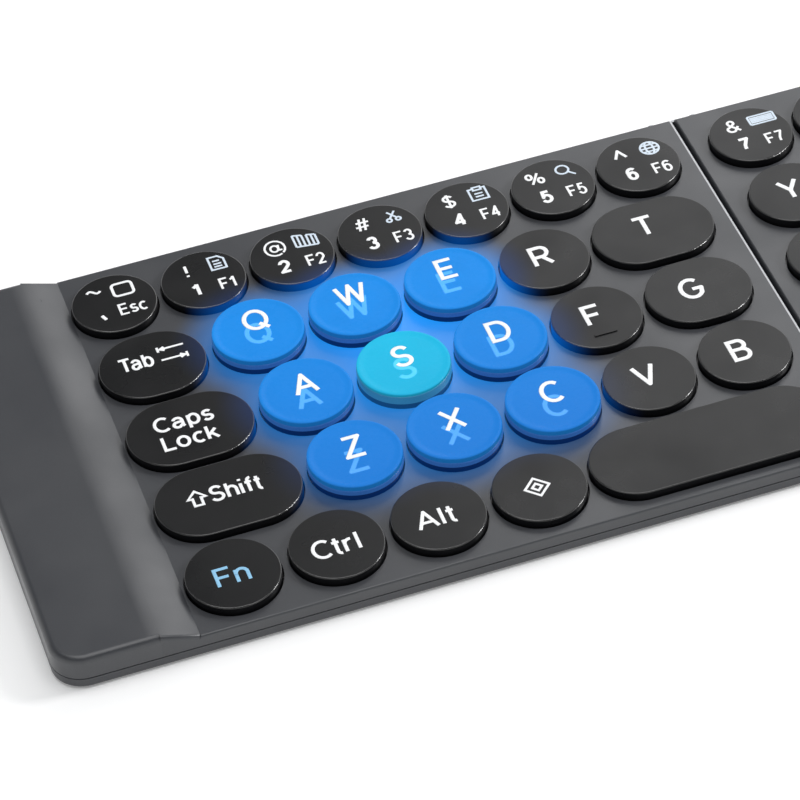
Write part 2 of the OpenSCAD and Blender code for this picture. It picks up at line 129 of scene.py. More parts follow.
class NodeDesk:
    """A node tree with short ways to add and join nodes."""

    def __init__(self, owner: bpy.types.Material | bpy.types.World) -> None:
        """Empties the owner's node tree and keeps both.

        Args:
            owner: the material or world.
        """
        owner.use_nodes = True
        self.owner = owner
        self.tree = owner.node_tree
        self.tree.nodes.clear()

    def add(self, kind: str, values: dict[str | int, object] | None = None,
            **settings: object) -> bpy.types.Node:
        """Adds a node.

        Args:
            kind: the node's type, without the ShaderNode prefix.
            values: numbers and colours for its input sockets.
            settings: node attributes to set.

        Returns:
            The new node.
        """
        node = self.tree.nodes.new("ShaderNode" + kind)
        for key, value in settings.items():
            setattr(node, key, value)
        for socket, value in (values or {}).items():
            node.inputs[socket].default_value = value
        return node

    def join(self, source: Socket, target: Socket) -> None:
        """Links two sockets."""
        self.tree.links.new(source, target)

    def place(self) -> Socket:
        """The object coordinates, in metres."""
        return self.add("TexCoord").outputs["Object"]

    def axis(self, vector: Socket, name: str) -> Socket:
        """One component of a vector.

        Args:
            vector: the vector.
            name: X, Y or Z.

        Returns:
            The component's socket.
        """
        split = self.add("SeparateXYZ")
        self.join(vector, split.inputs[0])
        return split.outputs[name]

    def facing_up(self) -> Socket:
        """How far a face looks up, 0 on walls and 1 on tops."""
        return self.axis(self.add("NewGeometry").outputs["Normal"], "Z")

    def combine(self, operation: str, first: Socket, second: Socket) -> Socket:
        """Two values put through a Math node.

        Args:
            operation: the node's operation.
            first: its first value.
            second: its second value.

        Returns:
            The result's socket.
        """
        node = self.add("Math", operation=operation)
        self.join(first, node.inputs[0])
        self.join(second, node.inputs[1])
        return node.outputs[0]

    def distance(self, vector: Socket, spot: Spot) -> Socket:
        """How far a vector is from a fixed spot.

        Args:
            vector: the vector.
            spot: the spot.

        Returns:
            The distance's socket.
        """
        gap = self.add("VectorMath", {1: spot}, operation="DISTANCE")
        self.join(vector, gap.inputs[0])
        return gap.outputs["Value"]

    def noise(self, coords: Socket, scale: float, detail: float) -> Socket:
        """Noise at a given scale.

        Args:
            coords: the coordinates that the noise reads.
            scale: cells per metre.
            detail: octaves.

        Returns:
            The noise's factor socket.
        """
        node = self.add("TexNoise", {"Scale": scale, "Detail": detail})
        self.join(coords, node.inputs["Vector"])
        return node.outputs[0]

    def remap(self, value: Socket, low: float, high: float, to_low: float, to_high: float,
              smooth: bool = False) -> Socket:
        """Maps a value from one range to another.

        Args:
            value: the socket to map.
            low: start of the range read.
            high: end of the range read.
            to_low: what low becomes.
            to_high: what high becomes.
            smooth: eases both ends.

        Returns:
            The mapped socket.
        """
        node = self.add("MapRange", {1: low, 2: high, 3: to_low, 4: to_high},
                        interpolation_type="SMOOTHSTEP" if smooth else "LINEAR")
        self.join(value, node.inputs[0])
        return node.outputs[0]

    def mix(self, factor: Socket, first: Rgb | Socket, second: Rgb) -> Socket:
        """Mixes two colours.

        Args:
            factor: how far towards the second.
            first: colour at 0, or a socket that gives it.
            second: colour at 1.

        Returns:
            The mixed colour's socket.
        """
        node = self.add("Mix", data_type="RGBA")
        start, end = [s for s in node.inputs if s.type == "RGBA"]
        end.default_value = (*second, 1.0)
        if isinstance(first, Socket):
            self.join(first, start)
        else:
            start.default_value = (*first, 1.0)
        self.join(factor, node.inputs[0])
        return next(s for s in node.outputs if s.type == "RGBA")

    def blend(self, factor: Socket, first: Socket, second: Socket) -> Socket:
        """Mixes two shaders.

        Args:
            factor: how far towards the second.
            first: shader at 0.
            second: shader at 1.

        Returns:
            The mixed shader's socket.
        """
        node = self.add("MixShader")
        for source, target in zip((factor, first, second), node.inputs):
            self.join(source, target)
        return node.outputs[0]

    def seen_rays(self) -> Socket:
        """Tells camera, glossy and transmission rays from the rest.

        Returns:
            A socket that is 1 for such a ray.
        """
        rays = self.add("LightPath").outputs
        mirrored = self.combine("MAXIMUM", rays["Is Camera Ray"], rays["Is Glossy Ray"])
        return self.combine("MAXIMUM", mirrored, rays["Is Transmission Ray"])

    def show(self, surface: Socket, output: str = "OutputMaterial") -> None:
        """Joins a shader to the tree's output."""
        self.join(surface, self.add(output).inputs["Surface"])


@dataclass(frozen=True)
class Finish:
    """A procedural surface: tint, grain, sheen, the lit keys' painted glow, and painted highlight
    and shade.
    """

    GRAIN_SPAN = (0.35, 0.75)
    GRAIN_SHARE = 0.35
    GRAIN_SHADE = 0.72
    GRAIN_BUMP = 0.6
    RIM_START = (0.25, 0.5)
    RIM_END = (0.93, 0.99)
    # painted shade on key walls: where it starts and ends, its share and its tone
    WALL_SHADE_SPAN = (0.2, 0.9)
    WALL_SHADE_SHARE = 0.75
    WALL_PAINTED_SHADE = (0.001, 0.001, 0.002)

    name: str
    colour: Rgb
    dark: Rgb
    roughness: float = 0.5
    rough_swing: float = 0.06
    metallic: float = 0.0
    specular: float = 0.5
    coat: float = 0.0
    coat_roughness: float = 0.25
    coat_ior: float = 1.5
    grain: float = 3500.0
    grain_depth: float = 0.00001
    patch: float = 70.0
    # strength of the lit keys' painted glow, given as emission
    painted_spill: float = 0.0
    emission: float = 0.0
    brush: float = 1.0
    cover: bool = False
    keycap: bool = False

    def build(self) -> bpy.types.Material:
        """Makes the material.

        Returns:
            The finished material.
        """
        desk = NodeDesk(bpy.data.materials.new(self.name))
        place = desk.place()
        shader = desk.add("BsdfPrincipled", {
            "Metallic": self.metallic, "Specular IOR Level": self.specular,
            "Coat Weight": self.coat, "Coat Roughness": self.coat_roughness,
            "Coat IOR": self.coat_ior, "Emission Strength": self.painted_spill or self.emission})
        patches = desk.noise(place, self.patch, 3.0)
        grains = desk.noise(self._brushed(desk, place), self.grain, 2.0)
        colour = desk.mix(desk.remap(patches, *MIDDLE, 0.0, 1.0), self.colour, self.dark)
        colour = desk.mix(desk.remap(grains, *self.GRAIN_SPAN, 0.0, self.GRAIN_SHARE), colour,
                          shade_of(self.dark, self.GRAIN_SHADE))
        # painted glow of the lit keys
        if self.painted_spill:
            colour = self._lit(desk, place, shader, colour)
        elif self.emission:
            desk.join(colour, shader.inputs["Emission Color"])
        # painted highlight along the left half's seam edge
        if self.cover:
            colour = CoverShape().seam_highlight(desk, place, colour)
        # painted shade on the key walls
        if self.keycap:
            colour = self._keycap(desk, shader, colour)
        desk.join(colour, shader.inputs["Base Color"])
        desk.join(desk.remap(patches, *MIDDLE, self.roughness - self.rough_swing,
                             self.roughness + self.rough_swing), shader.inputs["Roughness"])
        bump = desk.add("Bump", {"Strength": self.GRAIN_BUMP, "Distance": self.grain_depth})
        desk.join(grains, bump.inputs["Height"])
        if self.cover:
            desk.join(CoverShape().ease(desk, place), bump.inputs["Normal"])
        desk.join(bump.outputs[0], shader.inputs["Normal"])
        desk.show(shader.outputs[0])
        return desk.owner

    def _brushed(self, desk: NodeDesk, place: Socket) -> Socket:
        """Draws the grain out along X on a brushed finish.

        Args:
            desk: the material's node tree.
            place: object coordinates.

        Returns:
            The coordinates for the grain.
        """
        if self.brush == 1.0:
            return place
        stretch = desk.add("Mapping", {"Scale": (1.0 / self.brush, 1.0, 1.0)})
        desk.join(place, stretch.inputs["Vector"])
        return stretch.outputs[0]

    def _lit(self, desk: NodeDesk, place: Socket, shader: bpy.types.Node,
             colour: Socket) -> Socket:
        """Paints the glow of the lit keys as emission, on keys weaker on their tops than on their
        walls.

        Args:
            desk: the material's node tree.
            place: object coordinates.
            shader: the surface, whose emission is set.
            colour: the paint's colour.

        Returns:
            The colour, deepened where the painted glow falls.
        """
        painted_spill = PaintedSpill()
        glow = painted_spill.factor(desk, place)
        if not self.cover:
            glow = desk.combine("MULTIPLY", glow,
                                desk.remap(desk.facing_up(), 0.0, 1.0, 1.0, painted_spill.on_tops))
        green = painted_spill.cover_green if self.cover else painted_spill.key_green
        # painted glow: blue emission where light from the lit keys would fall
        light = desk.mix(glow, (0.0, 0.0, 0.0), (0.0, green, 1.0))
        desk.join(light, shader.inputs["Emission Color"])
        # under the painted glow the base colour is deepened towards blue
        return desk.mix(desk.remap(glow, 0.0, 1.0, 0.0, painted_spill.deepening), colour, painted_spill.deep)

    def _keycap(self, desk: NodeDesk, shader: bpy.types.Node, colour: Socket) -> Socket:
        """Paints shade on a key's walls, near black, and makes its rounded rim glossy.

        Args:
            desk: the material's node tree.
            shader: the surface, whose coat is set.
            colour: the plastic's colour.

        Returns:
            The colour, darkened to near black on the walls by painted shade.
        """
        facing = desk.facing_up()
        rim = desk.combine("MULTIPLY", desk.remap(facing, *self.RIM_START, 0.0, 1.0),
                           desk.remap(facing, *self.RIM_END, 1.0, 0.0))
        desk.join(rim, shader.inputs["Coat Weight"])
        # painted shade: the walls turn near black the more they face sideways
        wall_shade = desk.remap(facing, *self.WALL_SHADE_SPAN, self.WALL_SHADE_SHARE, 0.0)
        return desk.mix(wall_shade, colour, self.WALL_PAINTED_SHADE)


@dataclass(frozen=True)
class CoverShape:
    """What the paint of the covers does along the end slope and the seam, in millimetres."""

    foot: float = 126.6
    head: float = 133.6
    rise: float = 2.4
    soft_head: float = 136.0
    softness: float = 1.8
    # where the painted highlight lies on the left half's seam edge, and its pale tone
    highlight_out: tuple[float, float] = (-0.92, -0.80)
    highlight_in: tuple[float, float] = (-0.3, -0.2)
    highlight_up: tuple[float, float] = (4.70, 4.80)
    highlight_tone: Rgb = (0.50, 0.51, 0.53)

    def ease(self, desk: NodeDesk, place: Socket) -> Socket:
        """Blends the flat slope into the end block, as the moulding's soft edge does.

        Args:
            desk: the material's node tree.
            place: object coordinates.

        Returns:
            A normal socket.
        """
        across = desk.add("Math", operation="ABSOLUTE")
        desk.join(desk.axis(place, "X"), across.inputs[0])
        curve = desk.add("Math", {1: self.softness}, operation="POWER")
        desk.join(desk.remap(across.outputs[0], self.foot * MM, self.soft_head * MM, 1.0, 0.0),
                  curve.inputs[0])
        wanted = desk.remap(curve.outputs[0], 0.0, 1.0, self.rise * MM, 0.0)
        flat = desk.remap(across.outputs[0], self.foot * MM, self.head * MM, 0.0, self.rise * MM)
        bump = desk.add("Bump", {"Strength": 1.0, "Distance": 1.0})
        desk.join(desk.combine("SUBTRACT", wanted, flat), bump.inputs["Height"])
        return bump.outputs[0]

    def seam_highlight(self, desk: NodeDesk, place: Socket, paint: Socket) -> Socket:
        """Paints a pale highlight along the left half's seam edge.

        Args:
            desk: the material's node tree.
            place: object coordinates.
            paint: the paint's colour.

        Returns:
            The colour with its painted highlight on the seam edge.
        """
        x, z = desk.axis(place, "X"), desk.axis(place, "Z")
        lit_edge = desk.remap(x, self.highlight_out[0] * MM, self.highlight_out[1] * MM, 0.0, 1.0)
        inner = desk.remap(x, self.highlight_in[0] * MM, self.highlight_in[1] * MM, 1.0, 0.0)
        high = desk.remap(z, self.highlight_up[0] * MM, self.highlight_up[1] * MM, 0.0, 1.0)
        lit_edge = desk.combine("MULTIPLY", desk.combine("MULTIPLY", lit_edge, inner), high)
        # painted highlight: the seam edge turns pale
        return desk.mix(lit_edge, paint, self.highlight_tone)


@dataclass(frozen=True)
class PaintedSpill:
    """Painted glow: emission that stands in for the blue light the lit keys throw on what lies
    round them, in millimetres.
    """

    near: float = 8.8
    far: float = 17.5
    heart: Point = (-70.0, 12.5)
    heart_near: float = 4.0
    heart_far: float = 50.0
    heart_gain: float = 0.95
    rim_gain: float = 0.05
    on_tops: float = 0.26
    cover_green: float = 0.30
    key_green: float = 0.20
    deepening: float = 0.5
    deep: Rgb = (0.0, 0.01, 0.02)

    def factor(self, desk: NodeDesk, place: Socket) -> Socket:
        """How strongly the painted glow falls on a point.

        Args:
            desk: the material's node tree.
            place: object coordinates.

        Returns:
            A socket that runs from 0, unlit, to 1 beside a lit key.
        """
        level = desk.add("VectorMath", {1: (1.0, 1.0, 0.0)}, operation="MULTIPLY")
        desk.join(place, level.inputs[0])
        flat = level.outputs[0]
        # each mask is 0 beside a lit key and 1 beyond the reach of its painted glow
        beyond_glow = [desk.remap(desk.distance(flat, (x * MM, ROW_Y[int(row)], 0.0)),
                              self.near * MM, self.far * MM, 0.0, 1.0, smooth=True)
                   for x, row in LIT_KEYS.values()]
        dark = beyond_glow[0]
        for beyond_one in beyond_glow[1:]:
            dark = desk.combine("MULTIPLY", dark, beyond_one)
        away = desk.distance(flat, (self.heart[0] * MM, self.heart[1] * MM, 0.0))
        gain = desk.remap(away, self.heart_near * MM, self.heart_far * MM,
                          self.heart_gain, self.rim_gain)
        return desk.combine("MULTIPLY", desk.remap(dark, 0.0, 1.0, 1.0, 0.0), gain)


@dataclass(frozen=True)
class GlowFinish:
    """A translucent cap that is lit from inside and lets its lower layer show; painted shade
    darkens its flank.
    """

    name: str
    colour: Rgb
    shine: Rgb
    # share of the tone left on the flank: painted shade
    flank: float = 0.46
    clear: float = 0.25
    flank_clear: float = 0.3
    specular: float = 0.08
    front_green: float = 0.72
    front_blue: float = 0.80
    front_span: tuple[float, float] = (18 * MM, -26 * MM)
    cloud_scale: float = 160.0
    cloud_share: float = 0.6
    cloud_shade: float = 0.9
    rough_scale: float = 900.0
    rough_span: tuple[float, float] = (0.22, 0.34)

    def build(self) -> bpy.types.Material:
        """Makes the material.

        Returns:
            The finished material.
        """
        desk = NodeDesk(bpy.data.materials.new(self.name))
        place = desk.place()
        flank = desk.add("Attribute", attribute_name="flank").outputs["Fac"]
        cloud = desk.remap(desk.noise(place, self.cloud_scale, 2.0), *MIDDLE,
                           0.0, self.cloud_share)
        front = desk.remap(desk.axis(place, "Y"), *self.front_span, 0.0, 1.0)
        shader = desk.add("BsdfPrincipled", {"Specular IOR Level": self.specular,
                                             "Emission Strength": 1.0})
        for tone, target in ((self.colour, "Base Color"), (self.shine, "Emission Color")):
            colour = desk.mix(cloud, tone, shade_of(tone, self.cloud_shade))
            colour = desk.mix(front, colour, (tone[0], tone[1] * self.front_green,
                                              tone[2] * self.front_blue))
            # painted shade on the cap's flank
            colour = desk.mix(flank, colour, shade_of(tone, self.flank))
            desk.join(colour, shader.inputs[target])
        rough = desk.remap(desk.noise(place, self.rough_scale, 2.0), *MIDDLE, *self.rough_span)
        desk.join(rough, shader.inputs["Roughness"])
        see = desk.remap(flank, 0.0, 1.0, self.clear, self.clear * self.flank_clear)
        clear = desk.add("BsdfTransparent")
        desk.show(desk.blend(see, shader.outputs[0], clear.outputs[0]))
        return desk.owner


class Paints:
    """Every finish of the keyboard, built once."""

    def __init__(self) -> None:
        """Builds the materials."""
        self.skirts = {
            Lamp.BLUE: Finish("lit_blue_skirt", (0.001, 0.012, 0.07), (0.001, 0.010, 0.05),
                              roughness=0.35, specular=0.25, emission=1.1).build(),
            Lamp.CYAN: Finish("lit_cyan_skirt", (0.005, 0.045, 0.12), (0.004, 0.035, 0.10),
                              roughness=0.35, specular=0.25, emission=1.0).build()}
        self.collars = {
            Lamp.BLUE: Finish("lit_blue_collar", (0.022, 0.09, 0.29), (0.019, 0.078, 0.25),
                              roughness=0.25, specular=0.2, emission=0.8).build(),
            Lamp.CYAN: Finish("lit_cyan_collar", (0.028, 0.17, 0.30), (0.025, 0.15, 0.27),
                              roughness=0.3, emission=0.7).build()}
        self.caps = {
            Lamp.BLUE: GlowFinish("lit_blue_cap", (0.008, 0.14, 0.42),
                                  (0.014, 0.20, 0.58)).build(),
            Lamp.CYAN: GlowFinish("lit_cyan_cap", (0.010, 0.24, 0.32),
                                  (0.016, 0.44, 0.70)).build()}
        # the inks glow faintly by emission: painted light that brightens the prints
        self.inks = {
            Ink.WHITE: Finish("white_ink", (0.90, 0.91, 0.92), (0.84, 0.85, 0.86),
                              roughness=0.55, emission=0.12).build(),
            Ink.ICE: Finish("ice_ink", (0.68, 0.77, 0.87), (0.62, 0.71, 0.81),
                            roughness=0.55, emission=0.1).build(),
            Ink.BLUE: Finish("pale_blue_ink", (0.27, 0.56, 0.80), (0.24, 0.50, 0.73),
                             roughness=0.55, emission=0.1).build()}
        self.ghost = Finish("ghost_ink", (0.30, 0.70, 1.0), (0.26, 0.66, 0.96),
                            roughness=0.5, emission=1.15).build()
        self.slots: dict[str, bpy.types.Material] = {
            "lit_blue": self.caps[Lamp.BLUE],
            "lit_cyan": self.caps[Lamp.CYAN],
            "deck_grey": Finish("deck_paint", (0.051, 0.0535, 0.0605), (0.046, 0.0485, 0.055),
                                roughness=0.36, specular=0.7, painted_spill=1.0, cover=True,
                                grain=5200.0, grain_depth=0.000006).build(),
            "shell_grey": Finish("shell_paint", (0.051, 0.0535, 0.0605), (0.047, 0.0495, 0.056),
                                 roughness=0.38, rough_swing=0.015, specular=0.6,
                                 grain=5200.0, grain_depth=0.000006).build(),
            "key_black": Finish("key_plastic", (0.0105, 0.0108, 0.0115),
                                (0.008, 0.0082, 0.009), roughness=0.31, specular=0.34,
                                coat_roughness=0.2, coat_ior=1.7, painted_spill=0.85, keycap=True,
                                grain=4200.0, grain_depth=0.000005).build(),
            "steel": Finish("hinge_steel", (0.42, 0.43, 0.45), (0.33, 0.34, 0.36),
                            roughness=0.34, metallic=1.0, brush=14.0, grain=6000.0).build(),
            "board": Finish("board_lacquer", (0.015, 0.10, 0.045), (0.01, 0.07, 0.035),
                            roughness=0.35, coat=0.4).build(),
            "dome_rubber": Finish("dome_silicone", (0.42, 0.42, 0.40), (0.36, 0.36, 0.35),
                                  roughness=0.6).build(),
            "foot_rubber": Finish("foot_rubber", (0.022, 0.022, 0.023), (0.015, 0.015, 0.016),
                                  roughness=0.82, grain=2200.0, grain_depth=0.00003).build(),
            "flex": Finish("flex_film", (0.42, 0.19, 0.03), (0.33, 0.14, 0.02),
                           roughness=0.3, coat=0.3).build(),
            "magnet": Finish("magnet_plating", (0.62, 0.62, 0.64), (0.5, 0.5, 0.52),
                             roughness=0.22, metallic=1.0).build(),
            "cell": Finish("cell_foil", (0.56, 0.57, 0.6), (0.45, 0.46, 0.49),
                           roughness=0.38, metallic=0.9, patch=240.0).build()}


# ------------------------------------------------------------------ print


def arc(x: float, y: float, rx: float, ry: float, start: float, end: float,
        steps: int = 16) -> list[Point]:
    """Points along an elliptical arc.

    Args:
        x: middle.
        y: middle.
        rx: half width.
        ry: half height.
        start: first angle, in degrees.
        end: last angle, in degrees.
        steps: how many pieces.

    Returns:
        The points.
    """
    return [(x + rx * math.cos(math.radians(start + (end - start) * i / steps)),
             y + ry * math.sin(math.radians(start + (end - start) * i / steps)))
            for i in range(steps + 1)]


def ellipse(x: float, y: float, rx: float, ry: float) -> Stroke:
    """A closed ellipse."""
    return arc(x, y, rx, ry, 0, 345, 23), True


@dataclass(frozen=True)
class Mark:
    """One glyph or word on a key, placed from the key's middle, in millimetres.

    The size is the height of a capital or the rough height of a pictogram, and
    the weight is the width of the stroke.
    """

    what: str | Glyph
    x: float = 0.0
    y: float = 0.0
    size: float = 5.0
    weight: float = 0.78
    ink: Ink = Ink.WHITE
    stretch: float = 1.0


class Typeface:
    """A plain upright sans, drawn with strokes of one width; a capital is 1 tall."""

    GAP = 0.10
    CLOSER: dict[str, float] = {"Ta": 0.20, "ft": 0.14, "Ct": 0.10, "Lo": 0.10, "Fn": 0.04,
                                "tr": 0.06, "if": 0.04, "lt": 0.03}
    SIGNS: dict[str, list[Stroke]] = {}

    @classmethod
    def _draw(cls) -> None:
        """Fills the table of signs."""
        o = ellipse
        bowl = [(0, 0), (0, 1), (0.38, 1), *arc(0.38, 0.73, 0.26, 0.27, 90, -90), (0, 0.46)]
        ess = [*arc(0.33, 0.755, 0.28, 0.245, 20, 270), *arc(0.33, 0.255, 0.31, 0.255, 90, -160)]
        hoop = [(0, 0.42), *arc(0.25, 0.46, 0.25, 0.27, 180, 0), (0.5, 0)]
        table: dict[str, list[Stroke | list[Point]]] = {
            "A": [[(0, 0), (0.42, 1), (0.84, 0)], [(0.15, 0.34), (0.69, 0.34)]],
            "B": [[(0.38, 0.53), (0, 0.53), (0, 1), (0.37, 1),
                   *arc(0.37, 0.765, 0.24, 0.235, 90, -90)],
                  [(0, 0.53), (0, 0), (0.39, 0), *arc(0.39, 0.265, 0.27, 0.265, -90, 90)]],
            "C": [arc(0.42, 0.5, 0.42, 0.5, 48, 312)],
            "D": [([(0, 0), (0, 1), (0.32, 1), *arc(0.32, 0.5, 0.42, 0.5, 90, -90)], True)],
            "E": [[(0.62, 1), (0, 1), (0, 0), (0.64, 0)], [(0, 0.53), (0.57, 0.53)]],
            "F": [[(0.62, 1), (0, 1), (0, 0)], [(0, 0.51), (0.53, 0.51)]],
            "G": [[*arc(0.43, 0.5, 0.43, 0.5, 48, 322), (0.83, 0.46), (0.46, 0.46)]],
            "H": [[(0, 0), (0, 1)], [(0.72, 0), (0.72, 1)], [(0, 0.53), (0.72, 0.53)]],
            "I": [[(0, 0), (0, 1)]],
            "J": [[(0.48, 1), (0.48, 0.25), *arc(0.24, 0.25, 0.24, 0.25, 0, -175)]],
            "K": [[(0, 0), (0, 1)], [(0.66, 1), (0, 0.34)], [(0.25, 0.58), (0.70, 0)]],
            "L": [[(0, 1), (0, 0), (0.58, 0)]],
            "M": [[(0, 0), (0, 1), (0.40, 0.06), (0.80, 1), (0.80, 0)]],
            "N": [[(0, 0), (0, 1), (0.70, 0), (0.70, 1)]],
            "O": [o(0.44, 0.5, 0.44, 0.5)],
            "P": [bowl],
            "Q": [o(0.44, 0.5, 0.44, 0.5), [(0.55, 0.26), (0.88, -0.06)]],
            "R": [bowl, [(0.36, 0.46), (0.69, 0)]],
            "S": [ess],
            "T": [[(0, 1), (0.74, 1)], [(0.37, 1), (0.37, 0)]],
            "U": [[(0, 1), (0, 0.33), *arc(0.35, 0.33, 0.35, 0.33, 180, 360), (0.70, 1)]],
            "V": [[(0, 1), (0.40, 0), (0.80, 1)]],
            "W": [[(0, 1), (0.28, 0), (0.56, 1), (0.84, 0), (1.12, 1)]],
            "X": [[(0, 0), (0.76, 1)], [(0, 1), (0.76, 0)]],
            "Y": [[(0, 1), (0.38, 0.44), (0.76, 1)], [(0.38, 0.44), (0.38, 0)]],
            "Z": [[(0.04, 1), (0.68, 1), (0, 0), (0.72, 0)]],
            "a": [[*arc(0.26, 0.49, 0.24, 0.24, 160, 0), (0.50, 0.10), (0.56, 0)],
                  [(0.50, 0.42), (0.24, 0.40), *arc(0.22, 0.20, 0.22, 0.20, 90, 290),
                   (0.50, 0.22)]],
            "b": [[(0, 1), (0, 0)], o(0.27, 0.365, 0.27, 0.365)],
            "c": [arc(0.29, 0.365, 0.29, 0.365, 50, 310)],
            "e": [[(0.02, 0.38), (0.57, 0.38), *arc(0.29, 0.365, 0.29, 0.365, 10, 318)]],
            "f": [[*arc(0.37, 0.80, 0.20, 0.20, 90, 180), (0.17, 0)], [(0, 0.70), (0.36, 0.70)]],
            "h": [[(0, 1), (0, 0)], hoop],
            "i": [[(0, 0), (0, 0.73)], [(0, 0.93), (0, 1.06)]],
            "k": [[(0, 1), (0, 0)], [(0.46, 0.73), (0, 0.26)], [(0.18, 0.43), (0.52, 0)]],
            "l": [[(0, 0), (0, 1)]],
            "n": [[(0, 0.73), (0, 0)], hoop],
            "o": [o(0.30, 0.365, 0.30, 0.365)],
            "p": [[(0, 0.73), (0, -0.27)], o(0.27, 0.365, 0.27, 0.365)],
            "r": [[(0, 0.73), (0, 0)], [(0, 0.42), *arc(0.27, 0.44, 0.27, 0.27, 180, 80)]],
            "s": [[*arc(0.25, 0.54, 0.21, 0.18, 30, 262),
                   *arc(0.25, 0.185, 0.23, 0.185, 82, -155)]],
            "t": [[(0.16, 0.95), (0.16, 0.15), *arc(0.31, 0.15, 0.15, 0.15, 180, 275)],
                  [(0, 0.70), (0.33, 0.70)]],
            "0": [o(0.30, 0.5, 0.30, 0.5)],
            "1": [[(0.02, 0.72), (0.27, 0.88), (0.32, 1)], [(0.32, 1), (0.32, 0)]],
            "2": [[*arc(0.29, 0.71, 0.28, 0.29, 172, -38), (0, 0), (0.59, 0)]],
            "3": [arc(0.28, 0.755, 0.26, 0.245, 160, -90), arc(0.28, 0.26, 0.30, 0.26, 90, -165)],
            "4": [[(0.44, 0), (0.44, 1), (0, 0.29), (0.62, 0.29)]],
            "5": [[(0.54, 1), (0.13, 1), (0.06, 0.47), *arc(0.27, 0.33, 0.30, 0.33, 130, -160)]],
            "6": [[*arc(0.33, 0.66, 0.32, 0.34, 40, 180), (0.01, 0.34)], o(0.30, 0.32, 0.29, 0.32)],
            "7": [[(0, 1), (0.58, 1), *arc(0.62, 0, 0.42, 0.72, 130, 180)]],
            "8": [o(0.29, 0.765, 0.24, 0.235), o(0.29, 0.27, 0.29, 0.27)],
            "9": [[*arc(0.26, 0.34, 0.32, 0.34, -140, 0), (0.58, 0.66)], o(0.29, 0.68, 0.29, 0.32)],
            "!": [[(0, 1), (0, 0.30)], [(0, 0.06), (0, -0.10)]],
            "@": [arc(0.50, 0.45, 0.50, 0.55, -50, 300), o(0.47, 0.43, 0.19, 0.23),
                  [(0.70, 0.66), (0.66, 0.27), (0.84, 0.27)]],
            "#": [[(0.16, 0), (0.34, 1)], [(0.46, 0), (0.64, 1)], [(0, 0.32), (0.72, 0.32)],
                  [(0.08, 0.68), (0.80, 0.68)]],
            "$": [ess, [(0.33, 1.14), (0.33, -0.14)]],
            "%": [o(0.20, 0.76, 0.18, 0.24), o(0.86, 0.24, 0.18, 0.24), [(0.24, 0), (0.82, 1)]],
            "^": [[(0, 0.45), (0.27, 1), (0.54, 0.45)]],
            "&": [[(0.76, 0), (0.22, 0.62), *arc(0.36, 0.80, 0.18, 0.20, 200, -30), (0.14, 0.42),
                   *arc(0.28, 0.25, 0.27, 0.25, 140, 300), (0.70, 0.42)]],
            "*": [[(0.25, 1.02), (0.25, 0.5)], [(0.02, 0.89), (0.48, 0.63)],
                  [(0.48, 0.89), (0.02, 0.63)]],
            "(": [arc(0.60, 0.42, 0.60, 0.80, 125, 235)],
            ")": [arc(-0.36, 0.42, 0.60, 0.80, 55, -55)],
            "_": [[(0, -0.10), (0.62, -0.10)]],
            "-": [[(0, 0.36), (0.40, 0.36)]],
            "+": [[(0, 0.44), (0.62, 0.44)], [(0.31, 0.14), (0.31, 0.74)]],
            "=": [[(0, 0.30), (0.62, 0.30)], [(0, 0.58), (0.62, 0.58)]],
            "~": [[(x * 0.05, 0.5 + 0.10 * math.sin(x * math.pi / 6)) for x in range(13)]],
            "'": [[(0, 1), (0.12, 0.70)]],
            "{": [[(0.30, 1.05), (0.14, 1), (0.14, 0.58), (0, 0.45), (0.14, 0.32),
                   (0.14, -0.1), (0.30, -0.15)]],
            "}": [[(0, 1.05), (0.16, 1), (0.16, 0.58), (0.30, 0.45), (0.16, 0.32),
                   (0.16, -0.1), (0, -0.15)]],
            "[": [[(0.24, 1.05), (0, 1.05), (0, -0.15), (0.24, -0.15)]],
            "]": [[(0, 1.05), (0.24, 1.05), (0.24, -0.15), (0, -0.15)]],
            ":": [[(0, 0.58), (0, 0.74)], [(0, 0), (0, 0.16)]],
            ";": [[(0, 0.58), (0, 0.74)], [(0.02, 0.16), (0.02, 0.0), (-0.06, -0.2)]],
            "<": [[(0.56, 0.74), (0, 0.44), (0.56, 0.14)]],
            ">": [[(0, 0.74), (0.56, 0.44), (0, 0.14)]],
            ",": [[(0.06, 0.16), (0.06, 0.0), (-0.02, -0.2)]],
            ".": [[(0, 0), (0, 0.16)]],
            "?": [[*arc(0.27, 0.74, 0.27, 0.26, 170, -30), (0.28, 0.46), (0.28, 0.28)],
                  [(0.28, 0.06), (0.28, -0.10)]],
            "/": [[(0, 0), (0.34, 1)]],
        }
        for sign, strokes in table.items():
            cls.SIGNS[sign] = [s if isinstance(s, tuple) else (s, False) for s in strokes]

    @classmethod
    def set_word(cls, word: str, size: float, stretch: float, gap: float) -> list[Stroke]:
        """Lays out a word about its middle.

        Args:
            word: the signs.
            size: height of a capital, from stroke middle to stroke middle.
            stretch: how much wider than drawn.
            gap: space between two signs' strokes, in capital heights.

        Returns:
            The strokes, with the middle of a capital's height at Y = 0.
        """
        if not cls.SIGNS:
            cls._draw()
        strokes: list[Stroke] = []
        pen = 0.0
        for place, sign in enumerate(word):
            pen -= cls.CLOSER.get(word[place - 1:place + 1], 0.0)
            across = [x for points, _ in cls.SIGNS[sign] for x, _ in points]
            shift = pen - min(across)
            strokes += [([(x + shift, y) for x, y in points], closed)
                        for points, closed in cls.SIGNS[sign]]
            pen += max(across) - min(across) + gap
        middle = (pen - gap) / 2
        return [([((x - middle) * size * stretch, (y - 0.5) * size) for x, y in points], closed)
                for points, closed in strokes]


